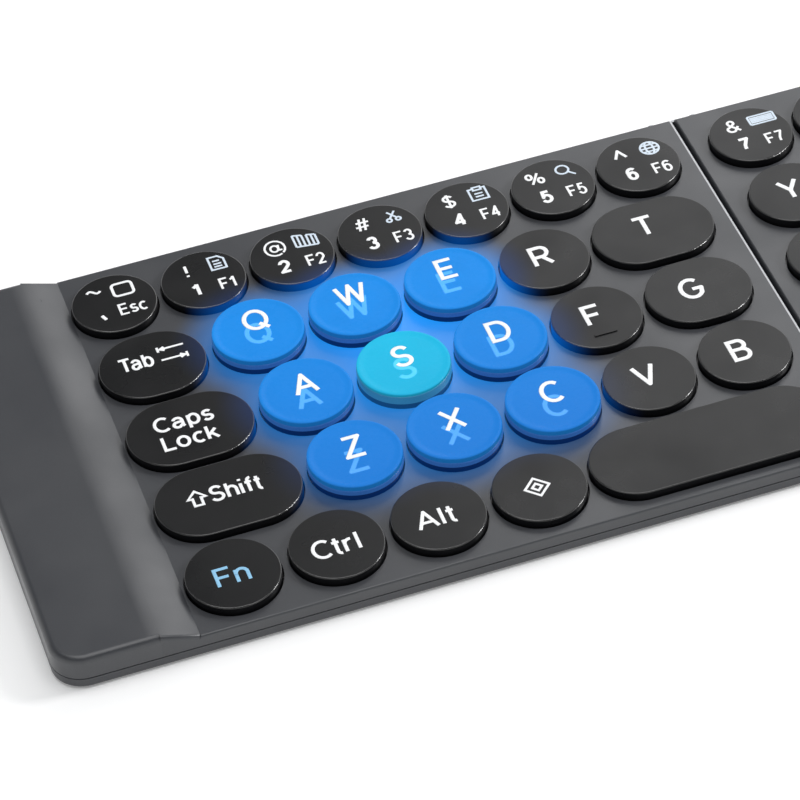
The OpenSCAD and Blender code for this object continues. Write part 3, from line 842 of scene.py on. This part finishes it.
@dataclass(frozen=True)
class Printer:
    """Turns marks into thin meshes that lie on a key's top; angles are in degrees."""

    depth: float = 0.02 * MM
    same: float = 0.004
    sharp: float = 100.0
    steepest: float = 120.0
    widest_mitre: float = 1.7
    dome: tuple[int, ...] = (30, 55, 75, 88)
    roundness: int = 2

    def _clean(self, points: list[Point]) -> list[Point]:
        """Leaves out points that repeat the one before.

        Args:
            points: the stroke.

        Returns:
            The points that stay.
        """
        kept = points[:1]
        for point in points[1:]:
            if math.dist(point, kept[-1]) > self.same:
                kept.append(point)
        return kept

    @staticmethod
    def _turn(before: Point, at: Point, after: Point) -> float:
        """By how much a line turns at a point.

        Args:
            before: the point before.
            at: the point itself.
            after: the point after.

        Returns:
            The turn in degrees.
        """
        first = Vector((at[0] - before[0], at[1] - before[1]))
        second = Vector((after[0] - at[0], after[1] - at[1]))
        return math.degrees(first.angle(second, 0.0))

    def _runs(self, points: list[Point]) -> list[tuple[list[Point], bool, bool]]:
        """Splits an open stroke at its sharp corners.

        Args:
            points: the stroke.

        Returns:
            Runs, each with whether its start and its end are round joints.
        """
        runs: list[tuple[list[Point], bool, bool]] = []
        start = 0
        for i in range(1, len(points) - 1):
            if self._turn(points[i - 1], points[i], points[i + 1]) > self.sharp:
                runs.append((points[start:i + 1], start > 0, True))
                start = i
        runs.append((points[start:], start > 0, False))
        return runs

    def _spline(self, curve: bpy.types.Curve, points: list[Point], half: float, closed: bool,
                round_start: bool = False, round_end: bool = False) -> None:
        """Adds one run to a curve, mitred at its corners and rounded at its joints.

        Args:
            curve: the curve.
            points: the run, in millimetres.
            half: half the stroke's width, in millimetres.
            closed: whether the run closes.
            round_start: whether its start is a round joint.
            round_end: whether its end is a round joint.
        """
        count = len(points)
        stops: list[tuple[float, float, float]] = []
        for i, (x, y) in enumerate(points):
            radius = 1.0
            if closed or 0 < i < count - 1:
                turn = self._turn(points[i - 1], points[i], points[(i + 1) % count])
                radius = min(self.widest_mitre,
                             1.0 / math.cos(math.radians(min(turn, self.steepest) / 2)))
            stops.append((x, y, radius))
        for wanted, end, inner in ((round_start, points[0], points[1]),
                                   (round_end, points[-1], points[-2])):
            if not wanted:
                continue
            out = Vector((end[0] - inner[0], end[1] - inner[1])).normalized() * half
            cap = [(end[0] + out.x * math.sin(a), end[1] + out.y * math.sin(a), math.cos(a))
                   for a in (math.radians(d) for d in self.dome)]
            stops = cap[::-1] + stops if end == points[0] else stops + cap
        line = curve.splines.new("POLY")
        line.points.add(len(stops) - 1)
        for point, (x, y, radius) in zip(line.points, stops):
            point.co = (x * MM, y * MM, 0.0, 1.0)
            point.radius = radius
        line.use_cyclic_u = closed

    def _strokes_mesh(self, strokes: list[Stroke], width: float) -> bpy.types.Mesh:
        """Flat strokes along polylines.

        Args:
            strokes: point lists in millimetres, each with whether it closes.
            width: stroke width in millimetres.

        Returns:
            A new mesh, in metres, flattened onto Z = 0.
        """
        curve = bpy.data.curves.new("strokes", "CURVE")
        curve.dimensions = "3D"
        curve.bevel_depth = width / 2 * MM
        curve.bevel_resolution = self.roundness
        curve.use_fill_caps = True
        for points, closed in strokes:
            points = self._clean(points)
            if closed:
                self._spline(curve, points, width / 2, True)
                continue
            for run, round_start, round_end in self._runs(points):
                self._spline(curve, run, width / 2, False, round_start, round_end)
        carrier = bpy.data.objects.new("strokes", curve)
        bpy.context.scene.collection.objects.link(carrier)
        bpy.context.view_layer.update()
        mesh = bpy.data.meshes.new_from_object(
            carrier.evaluated_get(bpy.context.evaluated_depsgraph_get()))
        bpy.data.objects.remove(carrier)
        bpy.data.curves.remove(curve)
        mesh.transform(Matrix.Diagonal((1.0, 1.0, 2 * self.depth / (width * MM), 1.0)))
        return mesh

    def mark_mesh(self, mark: Mark) -> bpy.types.Mesh:
        """Draws one mark.

        Args:
            mark: the mark.

        Returns:
            A new mesh about the key's middle, on Z = 0.
        """
        if isinstance(mark.what, Glyph):
            scale = mark.size / Pictures.TALL
            strokes = [([(x * scale * mark.stretch, y * scale) for x, y in points], closed)
                       for points, closed in Pictures.strokes(mark.what)]
        else:
            tall = mark.size - mark.weight
            gap = Typeface.GAP + mark.weight / tall
            strokes = Typeface.set_word(mark.what, tall, mark.stretch, gap)
        mesh = self._strokes_mesh(strokes, mark.weight)
        mesh.transform(Matrix.Translation((mark.x * MM, mark.y * MM, 0.0)))
        return mesh

    def print_on(self, name: str, marks: list[Mark], at: Vector, body: str,
                 ink: bpy.types.Material, slot: str) -> bpy.types.Object:
        """Prints marks on a key.

        Args:
            name: the new piece's name.
            marks: what to print.
            at: the middle of the key's top face.
            body: the CAD body that the print rides on.
            ink: the print's material.
            slot: the record slot that the print belongs to.

        Returns:
            The new piece.
        """
        sheet = bmesh.new()
        for mark in marks:
            mesh = self.mark_mesh(mark)
            mesh.transform(Matrix.Translation(at))
            sheet.from_mesh(mesh)
            bpy.data.meshes.remove(mesh)
        return Pieces.place(name, sheet, ink, body, slot, smooth=False)


class Pictures:
    """Stroke paths of the pictograms, in millimetres."""

    TALL = 4.0

    @staticmethod
    def rounded(w: float, h: float, r: float) -> list[Point]:
        """A closed rectangle with round corners.

        Args:
            w: width.
            h: height.
            r: radius of the corners.

        Returns:
            The points.
        """
        points: list[Point] = []
        for sx, sy, a in ((1, 1, 0), (-1, 1, 90), (-1, -1, 180), (1, -1, 270)):
            points += arc(sx * (w / 2 - r), sy * (h / 2 - r), r, r, a, a + 90, 4)
        return points

    @classmethod
    def strokes(cls, glyph: Glyph) -> list[Stroke]:
        """The strokes of a pictogram.

        Args:
            glyph: which one.

        Returns:
            Point lists, each with whether it closes.
        """
        page = [(-1.5, -1.9), (1.5, -1.9), (1.5, 0.9), (0.5, 1.9), (-1.5, 1.9)]
        horn = ([(-1.8, 0.6), (-0.9, 0.6), (0.2, 1.5), (0.2, -1.5), (-0.9, -0.6), (-1.8, -0.6)],
                True)
        table: dict[Glyph, list[Stroke]] = {
            Glyph.SQUARE: [(cls.rounded(4.2, 3.8, 0.8), True)],
            Glyph.PAGE: [(page, True), ([(-0.8, 0.6), (0.6, 0.6)], False),
                         ([(-0.8, -0.3), (0.8, -0.3)], False),
                         ([(-0.8, -1.1), (0.8, -1.1)], False)],
            Glyph.COPY: [([(x, -1.7 - 0.12 * i), (x, 1.9 - 0.22 * i)], False)
                         for i, x in enumerate((-2.2, -1.3, -0.4, 0.5, 1.4, 2.2))] + [
                             ([(-2.2, 1.9), (-0.4, 1.46)], False),
                             ([(0.5, 1.24), (2.2, 0.8)], False),
                             ([(-2.2, -1.7), (2.2, -2.3)], False)],
            Glyph.SCISSORS: [([(-1.0, 1.9), (0.9, -0.8)], False),
                             ([(1.0, 1.9), (-0.9, -0.8)], False),
                             (arc(-1.2, -1.4, 0.65, 0.65, 0, 330, 10), True),
                             (arc(1.2, -1.4, 0.65, 0.65, 0, 330, 10), True)],
            Glyph.BOARD: [([(-0.8, 1.6), (-1.8, 1.6), (-1.8, -1.9), (1.6, -1.9), (1.6, 1.6),
                            (0.8, 1.6)], False),
                          ([(-0.8, 1.1), (-0.8, 2.0), (0.8, 2.0), (0.8, 1.1)], True),
                          ([(-0.9, 0.0), (0.8, 0.0)], False), ([(-0.9, -0.9), (0.8, -0.9)], False)],
            Glyph.LENS: [(arc(-0.4, 0.4, 1.3, 1.3, 0, 345, 16), True),
                         ([(0.6, -0.6), (1.8, -1.8)], False)],
            Glyph.GLOBE: [(arc(0, 0, 1.9, 1.9, 0, 345, 20), True),
                          (arc(0, 0, 0.8, 1.9, 0, 345, 16), True),
                          ([(-1.9, 0), (1.9, 0)], False), ([(-1.5, 1.0), (1.5, 1.0)], False),
                          ([(-1.5, -1.0), (1.5, -1.0)], False)],
            Glyph.STRIP: [(cls.rounded(5.4, 2.6, 0.3), True)] + [
                ([(-2.4, y), (2.4, y)], False) for y in (0.7, 0.23, -0.23, -0.7)],
            Glyph.TAB: [([(-2.5, 2.2), (-2.5, 0.8)], False), ([(2.5, 1.5), (-2.0, 1.5)], False),
                        ([(-1.2, 2.0), (-2.1, 1.5), (-1.2, 1.0)], False),
                        ([(2.5, -0.8), (2.5, -2.2)], False), ([(-2.5, -1.5), (2.0, -1.5)], False),
                        ([(1.2, -1.0), (2.1, -1.5), (1.2, -2.0)], False)],
            Glyph.UP_ARROW: [([(0, 1.9), (-1.7, 0.1), (-0.8, 0.1), (-0.8, -1.8), (0.8, -1.8),
                               (0.8, 0.1), (1.7, 0.1)], True)],
            Glyph.DIAMOND: [([(0, 2.0), (-2.0, 0), (0, -2.0), (2.0, 0)], True),
                            ([(0, 0.8), (-0.8, 0), (0, -0.8), (0.8, 0)], True)],
            Glyph.LEFT: [([(2.0, 0), (-1.8, 0)], False),
                         ([(-0.6, 1.2), (-1.9, 0), (-0.6, -1.2)], False)],
            Glyph.RIGHT: [([(-2.0, 0), (1.8, 0)], False),
                          ([(0.6, 1.2), (1.9, 0), (0.6, -1.2)], False)],
            Glyph.UP: [([(0, -2.0), (0, 1.8)], False),
                       ([(1.2, 0.6), (0, 1.9), (-1.2, 0.6)], False)],
            Glyph.DOWN: [([(0, 2.0), (0, -1.8)], False),
                         ([(1.2, -0.6), (0, -1.9), (-1.2, -0.6)], False)],
            Glyph.BACK: [([(-2.3, 0), (-0.8, 1.6), (2.3, 1.6), (2.3, -1.6), (-0.8, -1.6)], True),
                         ([(0.0, 0.7), (1.4, -0.7)], False), ([(0.0, -0.7), (1.4, 0.7)], False)],
            Glyph.PLAY: [([(-1.6, 1.3), (-1.6, -1.3), (0.4, 0)], True),
                         ([(1.0, 1.3), (1.0, -1.3)], False), ([(1.8, 1.3), (1.8, -1.3)], False)],
            Glyph.FORWARD: [([(-1.8, 1.2), (-1.8, -1.2), (0, 0)], True),
                            ([(0.2, 1.2), (0.2, -1.2), (2.0, 0)], True)],
            Glyph.REWIND: [([(1.8, 1.2), (1.8, -1.2), (0, 0)], True),
                           ([(-0.2, 1.2), (-0.2, -1.2), (-2.0, 0)], True)],
            Glyph.QUIET: [horn, (arc(0.2, 0, 1.2, 1.0, -40, 40, 6), False)],
            Glyph.LOUD: [horn, (arc(0.2, 0, 1.1, 0.9, -40, 40, 6), False),
                         (arc(0.2, 0, 1.9, 1.7, -40, 40, 6), False)],
        }
        return table[glyph]


class Pieces:
    """Makes finished pieces from bmeshes."""

    SHARP_EDGE = math.radians(40)
    made: int = 0

    @classmethod
    def place(cls, name: str, shape: bmesh.types.BMesh, skin: bpy.types.Material, body: str,
              slot: str, replaces: tuple[str, ...] = (), smooth: bool = True) -> bpy.types.Object:
        """Turns a bmesh into a piece that rides on a CAD body.

        Args:
            name: the piece's name.
            shape: the bmesh, which is freed.
            skin: its material.
            body: the CAD body it rides on.
            slot: its record slot; not used.
            replaces: CAD nodes that it stands for.
            smooth: shades it smooth, with sharp edges kept.

        Returns:
            The new piece.
        """
        mesh = bpy.data.meshes.new(name)
        shape.to_mesh(mesh)
        shape.free()
        mesh.materials.append(skin)
        piece = bpy.data.objects.new(name, mesh)
        bpy.context.scene.collection.objects.link(piece)
        if smooth:
            mesh.shade_smooth()
            mesh.set_sharp_from_angle(angle=cls.SHARP_EDGE)
        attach(piece, body)
        if replaces:
            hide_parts(*replaces)
        cls.made += 1
        LOG.info("%s: %d faces on %s", name, len(mesh.polygons), body)
        return piece


# ------------------------------------------------------------------ keys


SMALL_SIGNS: dict[str, tuple[float, float]] = {
    "@": (4.4, 0.46), "%": (3.6, 0.55), "&": (3.8, 0.55), "#": (4.0, 0.52), "$": (3.7, 0.55),
    "^": (4.8, 0.62)}


def number_marks(symbol: str, digit: str, glyph: Glyph, function: str) -> list[Mark]:
    """Prints of a number row key.

    Args:
        symbol: the shifted sign.
        digit: the plain sign.
        glyph: the pictogram.
        function: the function key's name.

    Returns:
        The four marks.
    """
    height, weight = SMALL_SIGNS.get(symbol, (3.5, 0.6))
    narrow = 0.84 if digit in "03689" else 0.92
    return [Mark(symbol, -2.5, 3.1 if symbol == "^" else 3.5, height, weight),
            Mark(digit, -2.2, -2.4, 3.8, 0.75, stretch=narrow),
            Mark(glyph, 3.7, 3.7, 3.0 if glyph is Glyph.SCISSORS else 3.9, 0.45, Ink.ICE),
            Mark(function, 4.0, -2.6, 3.4, 0.5, stretch=0.76)]


def letter(sign: str, x: float = -0.4, y: float = 0.9) -> list[Mark]:
    """The print of a letter key, x and y off its middle."""
    return [Mark(sign, x, y, 5.9, 0.9, stretch=0.94)]


def arrow(glyph: Glyph) -> list[Mark]:
    """The print of an arrow key."""
    return [Mark(glyph, size=4.2, weight=0.5)]


def pair(upper: str, lower: str) -> list[Mark]:
    """The prints of a key with an upper and a lower sign."""
    return [Mark(upper, -0.5, 2.9, 3.4, 0.6), Mark(lower, -0.5, -2.6, 3.4, 0.6)]


LEFT_PRINTS: dict[str, tuple[Point, list[Mark]]] = {
    "key_esc": ((-118.12, 0), [Mark("~", -3.0, 4.4, 5.0, 0.55), Mark("'", -2.9, -4.9, 5.2, 0.7),
                               Mark(Glyph.SQUARE, 2.5, 3.4, 3.7, 0.6),
                               Mark("Esc", 3.0, -2.3, 3.3, 0.5, stretch=0.84)]),
    "key_1": ((-100.4, 0), number_marks("!", "1", Glyph.PAGE, "F1")),
    "key_2": ((-82.68, 0), number_marks("@", "2", Glyph.COPY, "F2")),
    "key_3": ((-64.96, 0), number_marks("#", "3", Glyph.SCISSORS, "F3")),
    "key_4": ((-47.24, 0), number_marks("$", "4", Glyph.BOARD, "F4")),
    "key_5": ((-29.52, 0), number_marks("%", "5", Glyph.LENS, "F5")),
    "key_6": ((-11.8, 0), number_marks("^", "6", Glyph.GLOBE, "F6")),
    "key_tab": ((-115.9, 1), [Mark("Tab", -2.9, 1.4, 4.0, 0.62, stretch=0.82),
                              Mark(Glyph.TAB, 4.3, 1.8, 4.0, 0.5)]),
    "key_q": (LIT_KEYS["key_q"], letter("Q")),
    "key_w": (LIT_KEYS["key_w"], letter("W")),
    "key_e": (LIT_KEYS["key_e"], letter("E")),
    "key_r_cap": ((-38.2, 1), letter("R")),
    "key_t": ((-16.15, 1), letter("T", -1.15, 1.5)),
    "key_caps_lock": ((-114.1, 2), [Mark("Caps", -0.7, 2.6, 4.1, 0.66),
                                    Mark("Lock", -0.7, -2.5, 4.1, 0.66)]),
    "key_a": (LIT_KEYS["key_a"], letter("A")),
    "key_s": (LIT_KEYS["key_s"], letter("S")),
    "key_d": (LIT_KEYS["key_d"], letter("D")),
    "key_f": ((-34.8, 2), letter("F", -0.5, 0.7)),
    "key_g": ((-14.4, 2), letter("G", -1.3, 0.6)),
    "key_shift": ((-112.45, 3), [Mark(Glyph.UP_ARROW, -5.65, 1.0, 4.0, 0.55),
                                 Mark("Shift", 1.7, 1.0, 4.2, 0.66, stretch=0.94)]),
    "key_z": (LIT_KEYS["key_z"], letter("Z")),
    "key_x": (LIT_KEYS["key_x"], letter("X")),
    "key_c": (LIT_KEYS["key_c"], letter("C")),
    "key_v": ((-31.7, 3), letter("V")),
    "key_b": ((-12.85, 3), letter("B", -0.8, 0.7)),
    "key_fn": ((-117.3, 4), [Mark("Fn", -0.3, -0.4, 4.9, 0.7, Ink.BLUE)]),
    "key_ctrl": ((-98.1, 4), [Mark("Ctrl", -0.4, -0.45, 4.8, 0.7)]),
    "key_alt": ((-79.05, 4), [Mark("Alt", -0.7, -0.35, 4.8, 0.7)]),
    "key_diamond": ((-60.0, 4), [Mark(Glyph.DIAMOND, -0.45, 0.1, 4.6, 0.5)]),
}

RIGHT_PRINTS: dict[str, list[tuple[Point, list[Mark]]]] = {
    "right_number_row_keys": [
        ((11.8, 0), number_marks("&", "7", Glyph.STRIP, "F7")),
        ((29.52, 0), number_marks("*", "8", Glyph.REWIND, "F8")),
        ((47.24, 0), number_marks("(", "9", Glyph.PLAY, "F9")),
        ((64.96, 0), number_marks(")", "0", Glyph.FORWARD, "F10")),
        ((82.68, 0), number_marks("_", "-", Glyph.QUIET, "F11")),
        ((100.4, 0), number_marks("+", "=", Glyph.LOUD, "F12")),
        ((118.12, 0), [Mark(Glyph.BACK, 0.0, 0.0, 4.6, 0.45)])],
    "right_top_row_keys": [
        ((12.85, 1), letter("Y")), ((31.85, 1), letter("U")), ((50.85, 1), letter("I")),
        ((69.85, 1), letter("O")), ((88.85, 1), letter("P")),
        ((105.475, 1), pair("{", "[")), ((119.775, 1), pair("}", "]"))],
    "right_home_row_keys": [
        ((12.85, 2), letter("H")), ((31.85, 2), letter("J")), ((50.85, 2), letter("K")),
        ((69.85, 2), letter("L")), ((88.85, 2), pair(":", ";")),
        ((112.62, 2), [Mark("Enter", -0.4, 0.4, 4.2, 0.66, stretch=0.94)])],
    "right_bottom_row_keys": [
        ((12.85, 3), letter("N")), ((31.85, 3), letter("M")), ((50.85, 3), pair("<", ",")),
        ((69.85, 3), pair(">", ".")), ((88.85, 3), pair("?", "/")),
        ((112.62, 3), [Mark(Glyph.UP_ARROW, -7.0, 0.4, 4.2, 0.42),
                       Mark("Shift", 0.6, 0.4, 4.2, 0.66, stretch=0.94)])],
    "right_space_row_keys": [
        ((60.0, 4), arrow(Glyph.LEFT)), ((79.05, 4), arrow(Glyph.UP)),
        ((98.1, 4), arrow(Glyph.DOWN)), ((117.3, 4), arrow(Glyph.RIGHT))],
}


@dataclass(frozen=True)
class LitKey:
    """A lit key: dark skirt, paler collar and a glowing translucent cap."""

    node: str
    x: float
    y: float
    lamp: Lamp
    top: float
    step: float
    skirt_r: float = 8.65 * MM
    collar_r: float = 8.85 * MM
    cap_r: float = 8.75 * MM
    low: float = 4.6 * MM
    skirt_top: float = 6.05 * MM
    air: float = 0.02 * MM
    skirt_edge: float = 0.1 * MM
    collar_edge: float = 0.2 * MM
    cap_edge: float = 0.32 * MM
    border: float = 0.35 * MM
    ledge: float = 0.12 * MM
    dish: float = 0.05 * MM
    inner_ring: float = 0.9 * MM
    flank_from: float = 0.1 * MM
    flank_fade: float = 0.2 * MM
    hair: float = 0.001 * MM
    segments: int = 96
    edge_segments: int = 5

    def _drum(self, radius: float, low: float, high: float, bevel: float) -> bmesh.types.BMesh:
        """A closed drum with a rounded top edge.

        Args:
            radius: its radius.
            low: height of its underside.
            high: height of its top.
            bevel: radius of the rounded edge.

        Returns:
            The bmesh.
        """
        drum = bmesh.new()
        bmesh.ops.create_cone(drum, cap_ends=True, segments=self.segments, radius1=radius,
                              radius2=radius, depth=high - low,
                              matrix=Matrix.Translation((self.x, self.y, (low + high) / 2)))
        rim = [e for e in drum.edges if all(v.co.z > high - self.hair for v in e.verts)]
        bmesh.ops.bevel(drum, geom=rim, offset=bevel, offset_type="OFFSET",
                        segments=self.edge_segments, profile=0.5, affect="EDGES", material=-1)
        return drum

    def _place(self, part: str, drum: bmesh.types.BMesh, skin: bpy.types.Material,
               replaces: tuple[str, ...] = ()) -> None:
        """Hands a finished drum over as a piece of this key."""
        Pieces.place(self.node + part, drum, skin, self.node + "_body", self.lamp.value, replaces)

    def build(self, paints: Paints) -> None:
        """Builds the three parts and lets them stand for the CAD key.

        Args:
            paints: the finishes.
        """
        skirt = self._drum(self.skirt_r, self.low, self.skirt_top, self.skirt_edge)
        self._place("_skirt", skirt, paints.skirts[self.lamp])
        collar = self._drum(self.collar_r, self.skirt_top + self.air, self.step,
                            self.collar_edge)
        self._place("_collar", collar, paints.collars[self.lamp])
        cap = self._drum(self.cap_r, self.step + self.air, self.top, self.cap_edge)
        face = max(cap.faces, key=lambda f: f.calc_center_median().z)
        for thickness, depth in ((self.border, 0.0), (self.ledge, -self.dish),
                                 (self.inner_ring, 0.0)):
            bmesh.ops.inset_region(cap, faces=[face], thickness=thickness, depth=depth)
        flank = cap.verts.layers.float.new("flank")
        for vert in cap.verts:
            below = (self.top - self.flank_from - vert.co.z) / self.flank_fade
            vert[flank] = min(1.0, max(0.0, below))
        self._place("_cap", cap, paints.caps[self.lamp], (self.node,))


@dataclass(frozen=True)
class KeyField:
    """All keys with their prints; the shifts of the prints are in millimetres."""

    paints: Paints
    printer: Printer
    lit_shift: Point = (0.65, 0.8)
    top_row_shift: Point = (0.65, 1.9)
    ghost_shift: Point = (-0.3, -2.7)
    ghost_rise: float = 0.1 * MM
    blue_cap: float = 1.15 * MM
    cyan_cap: float = 0.7 * MM

    def _print(self, name: str, marks: list[Mark], at: Vector, body: str, slot: str) -> None:
        """Prints a key's marks, one piece for each ink.

        Args:
            name: stem of the pieces' names.
            marks: the marks.
            at: middle of the key's top.
            body: the CAD body.
            slot: the record slot.
        """
        for ink in Ink:
            part = [m for m in marks if m.ink is ink]
            if part:
                self.printer.print_on("%s_%s" % (name, ink.value), part, at, body,
                                      self.paints.inks[ink], slot)

    def _build_lit(self, node: str, middle: Vector, marks: list[Mark]) -> None:
        """Builds a lit key with its print and the print's image in the layer below.

        Args:
            node: the CAD node.
            middle: middle of the key, at any height.
            marks: the marks.
        """
        lamp, cap = (Lamp.CYAN, self.cyan_cap) if node == "key_s" else (Lamp.BLUE, self.blue_cap)
        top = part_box(node)[1][2]
        step = top - cap
        key = LitKey(node, middle.x, middle.y, lamp, top, step)
        key.build(self.paints)
        shift = self.top_row_shift if LIT_KEYS[node][1] == 1 else self.lit_shift
        face = Vector((middle.x + shift[0] * MM, middle.y + shift[1] * MM, top - key.dish))
        self._print(node, marks, face, node + "_body", lamp.value)
        below = Vector((face.x + self.ghost_shift[0] * MM, face.y + self.ghost_shift[1] * MM,
                        step + self.ghost_rise))
        self.printer.print_on(node + "_ghost_print", marks, below, node + "_body",
                              self.paints.ghost, lamp.value)

    def build_left(self) -> None:
        """Dresses the keys of the left half."""
        for node, ((x, row), marks) in LEFT_PRINTS.items():
            middle = Vector((x * MM, ROW_Y[int(row)], KEY_TOP))
            if node in LIT_KEYS:
                self._build_lit(node, middle, marks)
            else:
                self._print(node, marks, middle, node + "_body", "key_black")

    def build_right(self) -> None:
        """Prints the keys of the right half, one piece per key and ink."""
        for node, keys in RIGHT_PRINTS.items():
            for i, ((x, row), marks) in enumerate(keys):
                middle = Vector((x * MM, ROW_Y[int(row)], KEY_TOP))
                self._print("%s_%d" % (node, i + 1), marks, middle, node + "_body", "key_black")


# ------------------------------------------------------------------ bodies


@dataclass(frozen=True)
class Housing:
    """The carried CAD nodes, dressed in their finishes."""

    paints: Paints

    def dress(self) -> None:
        """Gives every CAD node the material of its record slot."""
        slots = {p["node"]: p["material_slot"] for p in frame["record"]["subparts"]}
        for node, thing in frame["nodes"].items():
            material = self.paints.slots[slots[node]]
            thing.data.materials.clear()
            thing.data.materials.append(material)
            LOG.info("%s: %s", node, material.name)


# ------------------------------------------------------------------ studio


@dataclass(frozen=True)
class SoftLamp:
    """A square area lamp: its place, its side, its watts and the point that it faces."""

    name: str
    at: Spot
    size: float
    power: float
    aim: Spot = (0.0, 0.0, 0.0)

    def build(self) -> None:
        """Adds the lamp to the scene."""
        light = bpy.data.lights.new(self.name, "AREA")
        light.size = self.size
        light.energy = self.power
        thing = bpy.data.objects.new(self.name, light)
        thing.location = self.at
        way = Vector(self.aim) - Vector(self.at)
        thing.rotation_euler = way.to_track_quat("-Z", "Y").to_euler()
        bpy.context.scene.collection.objects.link(thing)


@dataclass(frozen=True)
class Studio:
    """Floor, lamps, world and camera."""

    lamps: tuple[SoftLamp, ...] = (
        SoftLamp("overhead_lamp", (-0.05, -0.02, 1.1), 0.9, 5.8, aim=(-0.05, 0.0, 0.0)),
        SoftLamp("sheen_lamp", (0.43, 0.69, 0.67), 0.6, 2.4),
        SoftLamp("right_lamp", (0.82, -0.05, 0.64), 0.24, 5.2))
    camera_at: Spot = (-0.206688, -0.503832, 0.488051)
    camera_turn: Spot = (0.814812, 0.065274, -0.318996)
    lens: float = 172.4597
    sensor: float = 36.0
    nearest: float = 0.01
    ambient: float = 0.34
    white_below: float = 0.30
    ceiling_above: float = 0.58
    ceiling: float = 0.06
    floor_half: float = 3.0
    floor_white: float = 0.9
    floor_glow: float = 0.17

    def floor(self) -> None:
        """A white floor that keeps the object's shadow."""
        slab = bmesh.new()
        bmesh.ops.create_grid(slab, x_segments=1, y_segments=1, size=self.floor_half)
        mesh = bpy.data.meshes.new("floor")
        slab.to_mesh(mesh)
        slab.free()
        desk = NodeDesk(bpy.data.materials.new("floor_white"))
        shade = desk.add("BsdfDiffuse", {"Color": (*(self.floor_white,) * 3, 1.0)}).outputs[0]
        shine = desk.add("Emission", {"Strength": self.floor_glow}).outputs[0]
        both = desk.add("AddShader")
        desk.join(shade, both.inputs[0])
        desk.join(shine, both.inputs[1])
        desk.show(desk.blend(desk.seen_rays(), shade, both.outputs[0]))
        mesh.materials.append(desk.owner)
        thing = bpy.data.objects.new("floor", mesh)
        bpy.context.scene.collection.objects.link(thing)

    def world(self) -> None:
        """White where it is seen, darker overhead, and soft grey as a light."""
        desk = NodeDesk(bpy.data.worlds.new("studio"))
        bpy.context.scene.world = desk.owner
        seen = desk.add("Background")
        desk.join(desk.remap(desk.axis(desk.place(), "Z"), self.white_below, self.ceiling_above,
                             1.0, self.ceiling), seen.inputs["Strength"])
        soft = desk.add("Background", {"Color": (0.96, 0.98, 1.0, 1.0), "Strength": self.ambient})
        desk.show(desk.blend(desk.seen_rays(), soft.outputs[0], seen.outputs[0]), "OutputWorld")

    def camera(self) -> None:
        """The camera, where the photograph was taken from."""
        lens = bpy.data.cameras.new("camera")
        lens.lens = self.lens
        lens.sensor_width = self.sensor
        lens.sensor_fit = "HORIZONTAL"
        lens.clip_start = self.nearest
        thing = bpy.data.objects.new("camera", lens)
        thing.location = self.camera_at
        thing.rotation_euler = self.camera_turn
        bpy.context.scene.collection.objects.link(thing)
        bpy.context.scene.camera = thing

    def build(self) -> None:
        """Sets up the whole studio."""
        self.floor()
        self.world()
        for lamp in self.lamps:
            lamp.build()
        self.camera()
        bpy.context.scene.view_settings.view_transform = "Standard"


def main() -> None:
    """Builds the keyboard's looks in order."""
    logging.basicConfig(level=logging.INFO, format="%(message)s")
    Studio().build()
    paints = Paints()
    Housing(paints).dress()
    keys = KeyField(paints, Printer())
    keys.build_left()
    keys.build_right()
    LOG.info("%d pieces made", Pieces.made)


if __name__ == "__main__":
    main()
